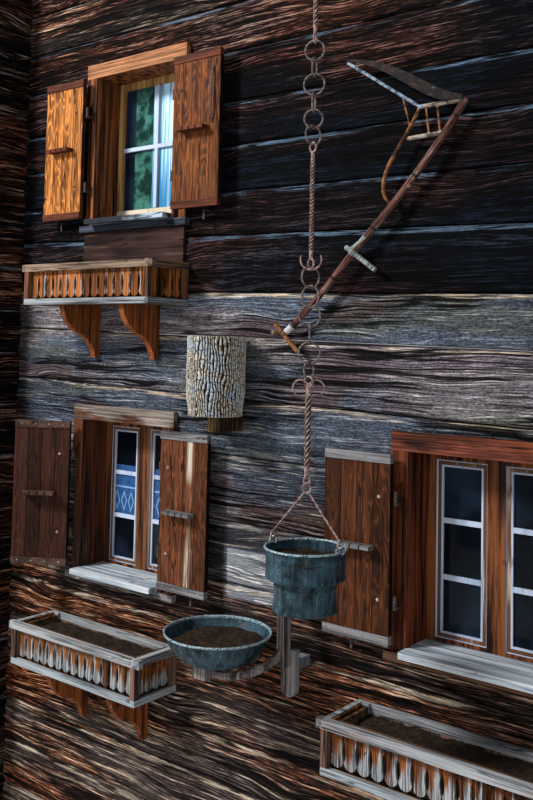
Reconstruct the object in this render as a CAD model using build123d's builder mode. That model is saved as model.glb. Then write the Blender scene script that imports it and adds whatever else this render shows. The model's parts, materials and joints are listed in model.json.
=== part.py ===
"""Log wall of an alpine chalet, with three shuttered windows, flower boxes and hung planters.

The wall stands on its base with its outer face towards -Y. The origin is at the base,
in the middle of the wall's length and of its thickness. Sizes are millimetres.
"""

import os
from math import cos, radians, sin
from typing import NamedTuple

from build123d import *

# Log wall
wall_length = 4820
wall_thickness = 220
seat = 0.3
log_bevel = 12
# Height of each seam at the wall's left end and at its right end, since the logs taper.
seams = [
    (0, 0), (185, 175), (455, 445), (715, 690), (950, 930), (1245, 1215), (1500, 1440),
    (1760, 1720), (2080, 2035), (2440, 2370), (2770, 2640), (3085, 2975), (3320, 3225),
    (3640, 3530), (3850, 3800), (4095, 4065), (4335, 4310), (4620, 4590), (4880, 4870),
    (5150, 5135), (5400, 5400),
]
head_length = 280
head_stagger = 16
return_length = 600

# Window frames, sills and sashes
lining = 26
casing_width = 88
casing_proud = 30
rebate_proud = 8
ear_inner_drop = 110
ear_outer_drop = 195
sill_thickness = 30
sill_reach = 100
under_sill_height = 40
under_sill_reach = 36
under_sill_overhang = 26
apron_foot = 3450
apron_thickness = 16
sash_setback = 165
sash_thickness = 40
sash_border = 45
sash_foot = 78
bar_width = 24
centre_post = 88
casement_stile = 32
casement_inset = 8
glass_thickness = 4
glass_rebate = 6

# Shutters and their hinges
shutter_thickness = 26
shutter_gap_over_sill = 10
shutter_gap_under_head = 14
shutter_meeting_gap = 8
batten_height = 42
batten_proud = 5
planks = 4
upper_right_planks = 5
plank_groove = 3
hinge_outset = 36
hinge_height_off_wall = 68
hinge_edge_gap = 18
hinge_spacing = 464
knuckle_radius = 9
knuckle_length = 44
pin_radius = 5
pin_clearance = 0.1
pin_rise = 6
pintle_bar = 14
strap_thickness = 5
strap_height = 30
strap_length = 210
strap_shoulder = 0.8
ledge_share = 0.56
ledge_reach = 58
ledge_thickness = 20
ledge_slots = 3
ledge_slot_width = 9
catch_drop = 8
catch_leaf = (12, 58, 4)
catch_pin_radius = 4
catch_reach = 52
catch_share = 0.62

# Flower boxes
box_depth = 315
box_height = 240
rail_thickness = 30
top_rail_height = 42
bottom_rail_height = 34
rail_horn = 26
post_size = 36
trough_board = 16
trough_gap = 14
trough_sunk = 12
slat_thickness = 12
slat_pitch = 66
slat_gap = 2
slat_waist = 10
slat_foot_gap = 7
slat_shoulder_drop = 26
slat_head_drop = 4
slat_hole_radius = 5
slat_hole_rise = 13
bracket_reach = 282
bracket_height = 306
bracket_thickness = 40
bracket_offset = 250
bracket_shift = 40
bracket_toe = 35
bracket_nose = 24
# Belly, turning point and hollow of the lower edge, as shares of the reach and of the height.
bracket_curve = ((0.86, 0.34), (0.6, 0.52), (0.3, 0.68))
soil_depth_below_rim = 40

# Hollowed log planter
planter_x = -50
planter_base = 2626
planter_height = 409
planter_top_radius = 158
planter_foot_radius = 143
planter_wall = 26
planter_waist_share = 0.35
planter_waist_inset = 3
planter_floor = 60
planter_bracket = (76, 190, 82)
planter_bracket_shift = 20

# Zinc basin, its bearer and the crooked branch that braces it
basin_x = 125
basin_off_wall = 300
basin_base = 1477
basin_height = 128
basin_rim_radius = 262
basin_foot_radius = 188
basin_cheek_share = 0.55
basin_cheek_rise = 0.45
zinc = 3
rim_bead = 6
bearer = (80, 430, 72)
branch_radius = 22
branch_start = 50
branch_end_inset = 10
branch_sag = (30, -70, -40)

# Paddle board and post beside the basin
paddle_x = 440
paddle_width = 88
paddle_foot = 1321
paddle_top = 1545
paddle_off_wall = 113
paddle_thickness = 30
paddle_block = 50
block_inset = 120
post_width = 41
post_depth = 57
post_inset = 15
post_foot = 1470
post_top = 1840
branch_rise = 70

# Tub that hangs from the kettle chain
tub_x = 891
tub_off_wall = 650
tub_base = 1921
tub_foot_height = 131
tub_height = 257
tub_foot_radius = 135
tub_waist_radius = 129
tub_waist_rise = 30
tub_band_radius = 165
tub_rim_radius = 168

# Kettle chain and the wrought arm that carries it
wire = 4.5
eye_reach = 20
ear_radius = 16
arm_top = 5000
arm_section = 22
arm_overhang = 40
arm_plate = (60, 300, 8)
brace_reach = 520
brace_section = (17.6, 13.2)
top_rod_foot = 4300
rod_radius = 10.5
middle_rod_length = 492
thick_rod_radius = 14
thick_rod_length = 405
link_end_share = 0.55
hook_turn = 35
# Reach and rise of the prongs at the middle rod's foot, and how far under its eye they start.
foot_hook = (40, 62)
foot_hook_drop = 25
# Crest and tip of the prongs at the thick rod's head, and how far under its eye they start.
head_hook = ((26, 37), (52, -22))
head_hook_drop = 30
# Where a hanger bar leaves the last eye, as shares of the eye's reach.
hanger_start = (0.5, 0.85)
# Kind, reach from its centre and turn of each element that hangs under a rod.
upper_drop = [
    ("ring", 42, 20), ("link", 39, 100), ("ring", 45, 20), ("link", 41, 110), ("ring", 39, 30),
    ("ring", 41, 75),
]
lower_drop = [
    ("ring", 45, 72), ("ring", 46, -5), ("ring", 44, 40), ("link", 42, 125), ("ring", 44, 35),
    ("ring", 37, 92),
]

# Scythe with its cradle, in a plane parallel to the wall, and the pegs it rests on
scythe_off_wall = 55
snath_radius = 17
snath_line = [(301, 3048), (405, 3134), (713, 3446), (1014, 3758), (1298, 4115)]
grip_radius = 12
bracket_radius = 10
lower_grip = ((249, 3104), (397, 2965))
side_handle = ((672, 3477), (838, 3360))
side_bracket = ((785, 3519), (695, 3461))
blade_thickness = 4
blade_back = [
    (648, 4396), (776, 4374), (888, 4336), (983, 4290), (1102, 4219), (1204, 4161), (1290, 4130),
]
blade_heel = (1295, 4111)
blade_edge = [
    (1196, 4116), (1102, 4159), (1024, 4208), (943, 4261), (847, 4319), (741, 4365), (648, 4396),
]
bow_radius = 9
cradle_bow = [
    (1067, 4108), (1029, 4040), (964, 3942), (906, 3854), (878, 3773), (881, 3718), (925, 3667),
]
finger_radius = 8
cradle_finger = ((668, 4382), (1067, 4108))
bar_radius = 10
cradle_bars = (((1067, 4108), (1290, 4110)), ((1003, 3967), (1186, 3974)))
cradle_pin_radius = 5
cradle_pins = (((975, 4172), (1016, 4022)), ((1098, 4108), (1116, 3970)), ((1156, 4109), (1172, 3973)))
peg_radius = 10
peg_reach = 95
peg_turn = 45
grip_peg_share = 0.2


class Window(NamedTuple):
    name: str
    axis: float
    width: float
    sill: float
    head: float
    left_swing: float


class FlowerBox(NamedTuple):
    name: str
    centre: float
    width: float
    top: float


upper = Window("upper", -864, 664, 3731, 4616, 0)
lower_left = Window("lower_left", -888, 664, 1645, 2524, 30)
lower_right = Window("lower_right", 1356, 690, 1645, 2524, 0)
windows = (upper, lower_left, lower_right)
boxes = (
    FlowerBox("upper", -938, 1054, 3446),
    FlowerBox("lower_left", -942, 1040, 1340),
    FlowerBox("lower_right", 1296, 1090, 1352),
)

wall_left, wall_right = -wall_length / 2, wall_length / 2
cross_left = wall_left + head_length
cross_right = cross_left + wall_thickness
cross_middle = cross_left + wall_thickness / 2
courses = len(seams) - 1
wall_height = seams[-1][0]

os.makedirs("parts", exist_ok=True)


def save(node, name):
    """Label a finished piece and write its file."""
    node.part.label = name
    export_step(node.part, f"parts/{name}.step")


def face(proud=0):
    """The plane parallel to the wall that stands this far in front of its outer face."""
    return Plane.XZ.offset(wall_thickness / 2 + proud)


def depth(proud):
    """The Y of a point that stands this far in front of the wall's outer face."""
    return -(wall_thickness / 2 + proud)


def cross_plane(x):
    """The plane across the wall at x, with -Y to the right of it and +Z up."""
    return Plane(origin=(x, 0, 0), x_dir=(0, -1, 0), z_dir=(-1, 0, 0))


def seam(course, x):
    """Height of the seam under a course at x."""
    left, right = seams[course]
    return left + (right - left) * (x - wall_left) / wall_length


def joint_gap(edge):
    """Half the gap at a seam, and none under the lowest log or over the highest."""
    return seat / 2 if 0 < edge < courses else 0


def slab(low, high, mode=Mode.ADD):
    """A rectangular block between two corners, added to the part being built."""
    size = [b - a for a, b in zip(low, high)]
    middle = tuple((a + b) / 2 for a, b in zip(low, high))
    with Locations(middle):
        Box(*size, mode=mode)


# Log wall: tapered logs, cut out round the windows and notched over each other at the corner
def hewn_section(bottom, top):
    """The outline of a hewn log with bevelled edges, centred on the wall's thickness."""
    half = wall_thickness / 2
    Polyline(
        (-half, bottom + log_bevel), (-half + log_bevel, bottom), (half - log_bevel, bottom),
        (half, bottom + log_bevel), (half, top - log_bevel), (half - log_bevel, top),
        (-half + log_bevel, top), (-half, top - log_bevel), close=True,
    )


def front_log(course):
    """One course of the wall: a log that tapers along its length, less the windows and the notch."""
    low, high = seam(course, cross_middle), seam(course + 1, cross_middle)
    quarter = (high - low) / 4
    with BuildPart() as log:
        for x in (wall_left, wall_right):
            with BuildSketch(Plane(origin=(x, 0, 0), x_dir=(0, 1, 0), z_dir=(1, 0, 0))):
                with BuildLine():
                    hewn_section(seam(course, x) + joint_gap(course),
                                 seam(course + 1, x) - joint_gap(course + 1))
                make_face()
        loft(ruled=True)
        for window in windows:
            half = window.width / 2 + lining + seat
            slab(
                (window.axis - half, -wall_thickness, window.sill - sill_thickness - lining - seat),
                (window.axis + half, wall_thickness, window.head + lining + seat),
                Mode.SUBTRACT,
            )
        notch = (cross_left - seat, cross_right + seat)
        slab((notch[0], -wall_thickness, low - quarter), (notch[1], wall_thickness, low + quarter),
             Mode.SUBTRACT)
        slab((notch[0], -wall_thickness, high - quarter), (notch[1], wall_thickness, high + quarter),
             Mode.SUBTRACT)
    return log.part.solids()


def cross_log(course):
    """One log of the cross wall: half a course above the front logs, with its head in front."""
    edges = [seam(k, cross_middle) for k in range(courses + 1)]
    middles = [0] + [(a + b) / 2 for a, b in zip(edges, edges[1:])] + [wall_height]
    low = middles[course] + (seat / 2 if course > 0 else 0)
    high = middles[course + 1] - (seat / 2 if course < courses else 0)
    keep_low = edges[course] - (edges[course] - edges[max(course - 1, 0)]) / 4 + seat
    keep_high = edges[course] + (edges[min(course + 1, courses)] - edges[course]) / 4 - seat
    front = depth(head_length - head_stagger * (course % 3))
    back = wall_thickness / 2 + return_length
    notch = wall_thickness / 2 + seat
    with BuildPart() as log:
        with BuildSketch(Plane(origin=(cross_middle, front, 0), x_dir=(1, 0, 0), z_dir=(0, -1, 0))):
            with BuildLine():
                hewn_section(low, high)
            make_face()
        extrude(amount=front - back)
        if course > 0:
            slab((cross_left - 1, -notch, low - 1), (cross_right + 1, notch, keep_low), Mode.SUBTRACT)
        if course < courses:
            slab((cross_left - 1, -notch, keep_high), (cross_right + 1, notch, high + 1), Mode.SUBTRACT)
    return log.part.solids()


log_zones = {
    "base_logs": range(0, 7),
    "lower_pier_logs": range(7, 9),
    "belt_logs": range(9, 14),
    "upper_pier_logs": range(14, 17),
    "crown_logs": range(17, courses),
}
for zone, members in log_zones.items():
    with BuildPart() as logs:
        for course in members:
            add(front_log(course))
    save(logs, zone)
with BuildPart() as cross_wall_logs:
    for course in range(courses + 1):
        add(cross_log(course))
save(cross_wall_logs, "cross_wall_logs")


# Window frames: a lining through the wall, rebated jambs, and a lintel that ends in two ears
def ring(window, grow, bottom):
    """A window's outline, grown on three sides by the same amount, down to the given height."""
    height = window.head + grow - bottom
    with Locations((window.axis, bottom + height / 2)):
        Rectangle(window.width + 2 * grow, height)


def hollow(window, bottom):
    """The opening of a window, taken out of the sketch being drawn."""
    height = window.head - bottom
    with Locations((window.axis, bottom + height / 2)):
        Rectangle(window.width, height, mode=Mode.SUBTRACT)


def window_frame(window):
    """Lining, jambs, eared lintel and the rail under the sill, as one solid; the upper window's
    frame ends in an apron board that reaches down to its flower box."""
    floor = window.sill - sill_thickness
    half = window.width / 2
    outer = half + casing_width
    with BuildPart() as frame:
        with BuildSketch(Plane.XZ.offset(-wall_thickness / 2)):
            ring(window, lining, floor - lining)
            hollow(window, floor)
        extrude(amount=wall_thickness + casing_proud)
        with BuildSketch(face(seat)):
            ring(window, casing_width, floor)
            hollow(window, floor - 1)
        extrude(amount=rebate_proud - seat)
        with BuildSketch(face(seat)):
            with Locations((window.axis, window.head + casing_width / 2)):
                Rectangle(2 * outer, casing_width)
            for side in (-1, 1):
                with BuildLine():
                    Polyline(
                        (window.axis + side * half, window.head),
                        (window.axis + side * half, window.head - ear_inner_drop),
                        (window.axis + side * outer, window.head - ear_outer_drop),
                        (window.axis + side * outer, window.head),
                        close=True,
                    )
                make_face()
        extrude(amount=casing_proud - seat)
        with BuildSketch(face(seat)):
            with Locations((window.axis, floor - under_sill_height / 2)):
                Rectangle(2 * (outer + under_sill_overhang), under_sill_height)
        extrude(amount=under_sill_reach - seat)
        if window is upper:
            apron_head = floor - under_sill_height
            with BuildSketch(face(seat)):
                with Locations((window.axis, (apron_head + apron_foot) / 2)):
                    Rectangle(2 * outer, apron_head - apron_foot)
            extrude(amount=apron_thickness - seat)
    return frame


for window in windows:
    save(window_frame(window), f"{window.name}_window_frame")

sash_front = -wall_thickness / 2 + sash_setback
sash_back = sash_front + sash_thickness

with BuildPart() as window_sills:
    for window in windows:
        half = window.width / 2 - seat
        slab(
            (window.axis - half, depth(sill_reach), window.sill - sill_thickness + seat),
            (window.axis + half, sash_front - seat, window.sill),
        )
save(window_sills, "window_sills")


# Sashes: a border with panes between bars, and a groove in which the glass sits
def panes(window):
    """Centre, width and height of each pane, and the sheets of glass behind them."""
    floor = window.sill - sill_thickness + seat
    low = floor + sash_foot
    if window is upper:
        low = floor + sash_foot + sill_thickness
        high = window.head - seat - sash_border
        columns, rows = 2, 2
        margin, middle = sash_border, bar_width
    else:
        high = window.head - seat - sash_border - casement_stile
        columns, rows = 2, 3
        margin, middle = sash_border + casement_stile, centre_post + 2 * casement_stile
    pane_width = (window.width - 2 * seat - 2 * margin - (columns - 1) * middle) / columns
    pane_height = (high - low - (rows - 1) * bar_width) / rows
    centres = []
    for column in (-1, 1):
        for row in range(rows):
            x = window.axis + column * (pane_width + middle) / 2
            z = low + pane_height / 2 + row * (pane_height + bar_width)
            centres.append((x, z))
    sheets = []
    for column in (-1, 1):
        x = window.axis + column * (pane_width + middle) / 2
        sheets.append(((x, (low + high) / 2), pane_width, high - low))
    return centres, pane_width, pane_height, sheets


def window_sash(window):
    """Fixed border and casements as one solid, with the panes and the glass groove cut out."""
    centres, pane_width, pane_height, sheets = panes(window)
    floor = window.sill - sill_thickness + seat
    height = window.head - seat - floor
    with BuildPart() as sash:
        with BuildSketch(Plane.XZ.offset(-sash_back)):
            with Locations((window.axis, floor + height / 2)):
                Rectangle(window.width - 2 * seat, height)
        extrude(amount=sash_thickness)
        if window is not upper:
            with BuildSketch(Plane.XZ.offset(-sash_front)):
                for (x, z), wide, tall in sheets:
                    with Locations((x, z)):
                        Rectangle(wide + 2 * casement_stile, tall + 2 * casement_stile)
            extrude(amount=-casement_inset, mode=Mode.SUBTRACT)
        with BuildSketch(Plane.XZ.offset(-sash_front)):
            with Locations(*centres):
                Rectangle(pane_width, pane_height)
        extrude(amount=-sash_thickness, mode=Mode.SUBTRACT)
        groove = sash_front + sash_thickness / 2
        with BuildSketch(Plane.XZ.offset(-groove)):
            for (x, z), wide, tall in sheets:
                with Locations((x, z)):
                    Rectangle(wide + 2 * glass_rebate, tall + 2 * glass_rebate)
        extrude(amount=glass_thickness / 2 + seat, both=True, mode=Mode.SUBTRACT)
    return sash


for window in windows:
    save(window_sash(window), f"{window.name}_sash")

with BuildPart() as window_glass:
    for window in windows:
        with BuildSketch(Plane.XZ.offset(-(sash_front + sash_thickness / 2))):
            for (x, z), wide, tall in panes(window)[3]:
                with Locations((x, z)):
                    Rectangle(wide + 2 * glass_rebate - 2 * seat, tall + 2 * glass_rebate - 2 * seat)
        extrude(amount=glass_thickness / 2, both=True)
save(window_glass, "window_glass")


# Shutters: boarded leaves on two strap hinges each, folded back against the wall
class Shutter(NamedTuple):
    window: Window
    side: int
    swing: float
    planks: int

    @property
    def name(self):
        return f"{self.window.name}_{'left' if self.side < 0 else 'right'}_shutter"

    @property
    def axis_x(self):
        return self.window.axis + self.side * (self.window.width / 2 + hinge_outset)

    @property
    def width(self):
        return self.window.width / 2 + hinge_outset - hinge_edge_gap - shutter_meeting_gap / 2

    @property
    def bottom(self):
        return self.window.sill + shutter_gap_over_sill

    @property
    def top(self):
        return self.window.head - shutter_gap_under_head

    @property
    def hinge_heights(self):
        middle = (self.bottom + self.top) / 2
        return (middle - hinge_spacing / 2, middle + hinge_spacing / 2)


shutters = [
    Shutter(window, side, window.left_swing if side < 0 else 0,
            upper_right_planks if window is upper and side > 0 else planks)
    for window in windows for side in (-1, 1)
]


def hinge_plane(shutter, proud=0):
    """The plane of a leaf through its hinge axis, moved outward from the axis."""
    turn = radians(shutter.swing)
    plane = Plane(
        origin=(shutter.axis_x, depth(hinge_height_off_wall), 0),
        x_dir=(cos(turn), sin(turn), 0),
        z_dir=(sin(turn), -cos(turn), 0),
    )
    return plane.offset(proud)


leaf_back = strap_thickness - knuckle_radius
leaf_front = leaf_back + shutter_thickness


def shutter_leaf(shutter):
    """Planks with grooves between them, a batten at each end and a slotted ledge."""
    side, width = shutter.side, shutter.width
    near = side * hinge_edge_gap
    far = side * (hinge_edge_gap + width)
    middle = (near + far) / 2
    tall = shutter.top - shutter.bottom
    ledge = ledge_share * width
    ledge_z = (shutter.bottom + shutter.top) / 2
    pitch = width / shutter.planks
    with BuildPart() as leaf:
        with BuildSketch(hinge_plane(shutter, leaf_back)):
            with Locations((middle, shutter.bottom + tall / 2)):
                Rectangle(width, tall)
        extrude(amount=shutter_thickness)
        with BuildSketch(hinge_plane(shutter, leaf_front)):
            for joint in range(1, shutter.planks):
                with Locations((near + side * joint * pitch, shutter.bottom + tall / 2)):
                    Rectangle(plank_groove, tall)
        extrude(amount=-plank_groove, mode=Mode.SUBTRACT)
        with BuildSketch(hinge_plane(shutter, leaf_front - plank_groove)):
            for z in (shutter.bottom + batten_height / 2, shutter.top - batten_height / 2):
                with Locations((middle, z)):
                    Rectangle(width, batten_height)
        extrude(amount=plank_groove + batten_proud)
        with BuildSketch(hinge_plane(shutter, leaf_front - plank_groove)):
            with Locations((middle, ledge_z)):
                Rectangle(ledge, ledge_thickness)
        extrude(amount=plank_groove + ledge_reach)
        with BuildSketch(hinge_plane(shutter, leaf_front + ledge_reach)):
            with Locations((middle, ledge_z)):
                with GridLocations(ledge / (ledge_slots + 1), 1, ledge_slots, 1):
                    Rectangle(ledge_slot_width, ledge_thickness + 2)
        extrude(amount=-ledge_reach / 2, mode=Mode.SUBTRACT)
    return leaf


def strap_hinges(shutter):
    """Two straps along the back of a leaf, each ending in a bored knuckle."""
    side = shutter.side
    with BuildPart() as straps:
        for z in shutter.hinge_heights:
            with BuildSketch(hinge_plane(shutter, leaf_back)):
                with BuildLine():
                    reach = side * strap_length
                    Polyline(
                        (0, z - strap_height / 2), (reach * strap_shoulder, z - strap_height / 2),
                        (reach, z), (reach * strap_shoulder, z + strap_height / 2),
                        (0, z + strap_height / 2), close=True,
                    )
                make_face()
            extrude(amount=-strap_thickness)
            ground = Plane.XY.offset(z - knuckle_length / 2)
            with BuildSketch(ground):
                with Locations((shutter.axis_x, depth(hinge_height_off_wall))):
                    Circle(knuckle_radius)
            extrude(amount=knuckle_length)
            with BuildSketch(ground):
                with Locations((shutter.axis_x, depth(hinge_height_off_wall))):
                    Circle(pin_radius + pin_clearance)
            extrude(amount=knuckle_length, mode=Mode.SUBTRACT)
    return straps


for shutter in shutters:
    save(shutter_leaf(shutter), shutter.name)
    save(strap_hinges(shutter), f"{shutter.name}_hinges")

with BuildPart() as shutter_pintles:
    for shutter in shutters:
        for z in shutter.hinge_heights:
            shelf = z - knuckle_length / 2 - seat
            half = pintle_bar / 2
            slab(
                (shutter.axis_x - half, depth(hinge_height_off_wall + half), shelf - pintle_bar),
                (shutter.axis_x + half, depth(rebate_proud), shelf),
            )
            with BuildSketch(Plane.XY.offset(shelf - pintle_bar / 2)):
                with Locations((shutter.axis_x, depth(hinge_height_off_wall))):
                    Circle(pin_radius)
            extrude(amount=pintle_bar / 2 + seat + knuckle_length + pin_rise)
save(shutter_pintles, "shutter_pintles")

with BuildPart() as shutter_catches:
    for shutter in shutters:
        x = shutter.axis_x + shutter.side * (hinge_edge_gap + catch_share * shutter.width)
        wide, tall, thick = catch_leaf
        z = shutter.bottom - catch_drop - wide / 2
        with BuildSketch(face(catch_reach - thick)):
            with Locations((x, z - tall / 2 + wide / 2)):
                SlotOverall(tall, wide, rotation=90)
        extrude(amount=thick)
        with BuildSketch(face()):
            with Locations((x, z)):
                Circle(catch_pin_radius)
        extrude(amount=catch_reach - thick / 2)
save(shutter_catches, "shutter_catches")


# Flower boxes: a boarded trough inside a railed frame, hung with fretted slats, on ogee brackets
def flower_box(box):
    """Trough, four posts, top and bottom rails as one solid."""
    left, right = box.centre - box.width / 2, box.centre + box.width / 2
    bottom = box.top - box_height
    front, back = depth(box_depth), depth(seat)
    inset = rail_thickness + slat_thickness + trough_gap
    with BuildPart() as body:
        for low, tall in ((box.top - top_rail_height, top_rail_height), (bottom, bottom_rail_height)):
            slab((left, front, low), (right, back, low + tall))
            slab((left + rail_thickness, front + rail_thickness, low - 1),
                 (right - rail_thickness, back - rail_thickness, low + tall + 1), Mode.SUBTRACT)
        for x in (left - rail_horn, right - rail_thickness):
            slab((x, front, box.top - top_rail_height),
                 (x + rail_thickness + rail_horn, front + rail_thickness, box.top))
        for x in (left, right - post_size):
            for y in (front, back - post_size):
                slab((x, y, bottom), (x + post_size, y + post_size, box.top - top_rail_height))
        slab((left + 1, front + 1, bottom), (right - 1, back - 1, bottom + trough_board))
        low = (left + inset, front + inset, bottom + trough_board)
        high = (right - inset, back - trough_board, box.top - trough_sunk)
        slab(low, (high[0], back, high[2]))
        slab((low[0] + trough_board, low[1] + trough_board, low[2]),
             (high[0] - trough_board, high[1], box.top + 1), Mode.SUBTRACT)
    return body


def slat_outline(height, width):
    """A fretted slat: shoulders with half a hole on each side, a drawn-in waist, a round tongue."""
    half = width / 2
    tongue = half - slat_gap
    foot = tongue
    shoulder = height - top_rail_height - slat_shoulder_drop
    waist = (foot + shoulder) / 2
    with BuildLine() as outline:
        Polyline((half, shoulder), (half, height), (-half, height), (-half, shoulder))
        ThreePointArc((-half, shoulder), (-half + slat_waist, waist), (-tongue, foot))
        ThreePointArc((-tongue, foot), (0, 0), (tongue, foot))
        ThreePointArc((tongue, foot), (half - slat_waist, waist), (half, shoulder))
    make_face(outline.edges())
    for side in (-1, 1):
        with Locations((side * (half + slat_gap / 2), shoulder + slat_hole_rise)):
            Circle(slat_hole_radius, mode=Mode.SUBTRACT)


def slat_positions(start, end):
    """Slat centres between two posts, and the width of each slat."""
    count = max(1, round((end - start) / slat_pitch))
    pitch = (end - start) / count
    return [start + pitch * (k + 0.5) for k in range(count)], pitch - slat_gap


def box_slats(box):
    """The slats behind the front rails and behind the two side rails."""
    foot = box.top - box_height + bottom_rail_height + slat_foot_gap
    height = box.top - foot - slat_head_drop
    half = box.width / 2
    front = box_depth - rail_thickness
    with BuildPart() as slats:
        centres, width = slat_positions(post_size - half, half - post_size)
        for x in centres:
            with BuildSketch(Plane(origin=(box.centre + x, depth(front), foot), x_dir=(1, 0, 0),
                                   z_dir=(0, -1, 0))):
                slat_outline(height, width)
            extrude(amount=-slat_thickness)
        centres, width = slat_positions(post_size + seat, front - slat_thickness)
        for side in (-1, 1):
            x = box.centre + side * (half - rail_thickness)
            for proud in centres:
                with BuildSketch(Plane(origin=(x, depth(proud), foot), x_dir=(0, 1, 0),
                                       z_dir=(1, 0, 0))):
                    slat_outline(height, width)
                extrude(amount=-side * slat_thickness)
    return slats


for box in boxes:
    save(flower_box(box), f"{box.name}_flower_box")
    save(box_slats(box), f"{box.name}_box_slats")


def ogee_bracket(x, top):
    """A bracket sawn from a plank, bulging under the box and drawn in to a point at the wall."""
    reach, tall = bracket_reach, bracket_height
    base = wall_thickness / 2 + seat
    belly, turn, hollow_point = [(base + out * reach, top - drop * tall) for out, drop in bracket_curve]
    with BuildSketch(cross_plane(x + bracket_thickness / 2)) as plank:
        with BuildLine():
            Polyline((base + bracket_toe, top - tall), (base, top - tall), (base, top),
                     (base + reach, top), (base + reach, top - bracket_nose))
            ThreePointArc((base + reach, top - bracket_nose), belly, turn)
            ThreePointArc(turn, hollow_point, (base + bracket_toe, top - tall))
        make_face()
    extrude(plank.sketch, amount=bracket_thickness)


with BuildPart() as box_brackets:
    for box in boxes:
        for side in (-1, 1):
            ogee_bracket(box.centre + bracket_shift + side * bracket_offset, box.top - box_height - seat)
save(box_brackets, "box_brackets")


# Round planters: hollowed log, zinc basin and hanging tub, turned about upright axes
def turned(x, off_wall, points):
    """Turn a closed half outline of (radius, height) points about an upright axis."""
    with BuildSketch(Plane(origin=(x, depth(off_wall), 0), x_dir=(1, 0, 0), z_dir=(0, -1, 0))) as half:
        with BuildLine():
            Polyline(*points, close=True)
        make_face()
    revolve(half.sketch, axis=Axis((x, depth(off_wall), 0), (0, 0, 1)))


planter_off_wall = planter_top_radius + seat
planter_rim = planter_base + planter_height
planter_waist = planter_base + planter_waist_share * planter_height
planter_bore = planter_top_radius - planter_wall
with BuildPart() as log_planter:
    turned(planter_x, planter_off_wall, [
        (0, planter_base), (planter_foot_radius, planter_base),
        (planter_top_radius - planter_waist_inset, planter_waist), (planter_top_radius, planter_rim),
        (planter_bore, planter_rim), (planter_bore, planter_base + planter_floor),
        (0, planter_base + planter_floor),
    ])
save(log_planter, "log_planter")

basin_rim = basin_base + basin_height
cheek_radius = basin_foot_radius + basin_cheek_share * (basin_rim_radius - basin_foot_radius)
cheek_height = basin_base + basin_cheek_rise * basin_height
with BuildPart() as zinc_basin:
    turned(basin_x, basin_off_wall, [
        (0, basin_base), (basin_foot_radius, basin_base), (cheek_radius, cheek_height),
        (basin_rim_radius, basin_rim - rim_bead), (basin_rim_radius + rim_bead, basin_rim - rim_bead),
        (basin_rim_radius + rim_bead, basin_rim), (basin_rim_radius - zinc, basin_rim),
        (basin_rim_radius - zinc, basin_rim - rim_bead), (cheek_radius - zinc, cheek_height),
        (basin_foot_radius - zinc, basin_base + zinc), (0, basin_base + zinc),
    ])
save(zinc_basin, "zinc_basin")

tub_rim = tub_base + tub_height
tub_step = tub_base + tub_foot_height
with BuildPart() as hanging_tub:
    turned(tub_x, tub_off_wall, [
        (0, tub_base), (tub_foot_radius, tub_base), (tub_waist_radius, tub_base + tub_waist_rise),
        (tub_waist_radius, tub_step), (tub_band_radius, tub_step),
        (tub_rim_radius, tub_rim - rim_bead), (tub_rim_radius + rim_bead, tub_rim - rim_bead),
        (tub_rim_radius + rim_bead, tub_rim), (tub_rim_radius - zinc, tub_rim),
        (tub_rim_radius - zinc, tub_rim - rim_bead), (tub_band_radius - zinc, tub_step + zinc),
        (tub_waist_radius - zinc, tub_step + zinc),
        (tub_waist_radius - zinc, tub_base + tub_waist_rise),
        (tub_foot_radius - zinc, tub_base + zinc), (0, tub_base + zinc),
    ])
    for side in (-1, 1):
        ear = Plane(origin=(tub_x + side * tub_rim_radius, depth(tub_off_wall), tub_rim),
                    x_dir=(1, 0, 0), z_dir=(0, -1, 0))
        with BuildSketch(Plane(origin=ear.origin + ear.x_dir * ear_radius, z_dir=(0, 0, 1))):
            RegularPolygon(wire, 6)
        revolve(axis=Axis(ear.origin, ear.z_dir))
save(hanging_tub, "hanging_tub")

with BuildPart() as potting_soil:
    inset = rail_thickness + slat_thickness + trough_gap + trough_board + seat
    for box in boxes:
        slab(
            (box.centre - box.width / 2 + inset, depth(box_depth) + inset,
             box.top - box_height + trough_board + seat),
            (box.centre + box.width / 2 - inset, depth(trough_board + 2 * seat),
             box.top - soil_depth_below_rim),
        )
    fill = planter_bore - seat
    turned(planter_x, planter_off_wall, [
        (0, planter_base + planter_floor + seat), (fill, planter_base + planter_floor + seat),
        (fill, planter_rim - soil_depth_below_rim), (0, planter_rim - soil_depth_below_rim),
    ])
    fill = cheek_radius - zinc - 1
    turned(basin_x, basin_off_wall, [
        (0, basin_base + zinc + seat), (basin_foot_radius - zinc - 1, basin_base + zinc + seat),
        (fill, cheek_height), (fill, basin_rim - soil_depth_below_rim),
        (0, basin_rim - soil_depth_below_rim),
    ])
    fill = tub_band_radius - zinc - seat
    turned(tub_x, tub_off_wall, [
        (0, tub_step + zinc + seat), (fill, tub_step + zinc + seat),
        (fill, tub_rim - soil_depth_below_rim), (0, tub_rim - soil_depth_below_rim),
    ])
save(potting_soil, "potting_soil")

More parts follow.
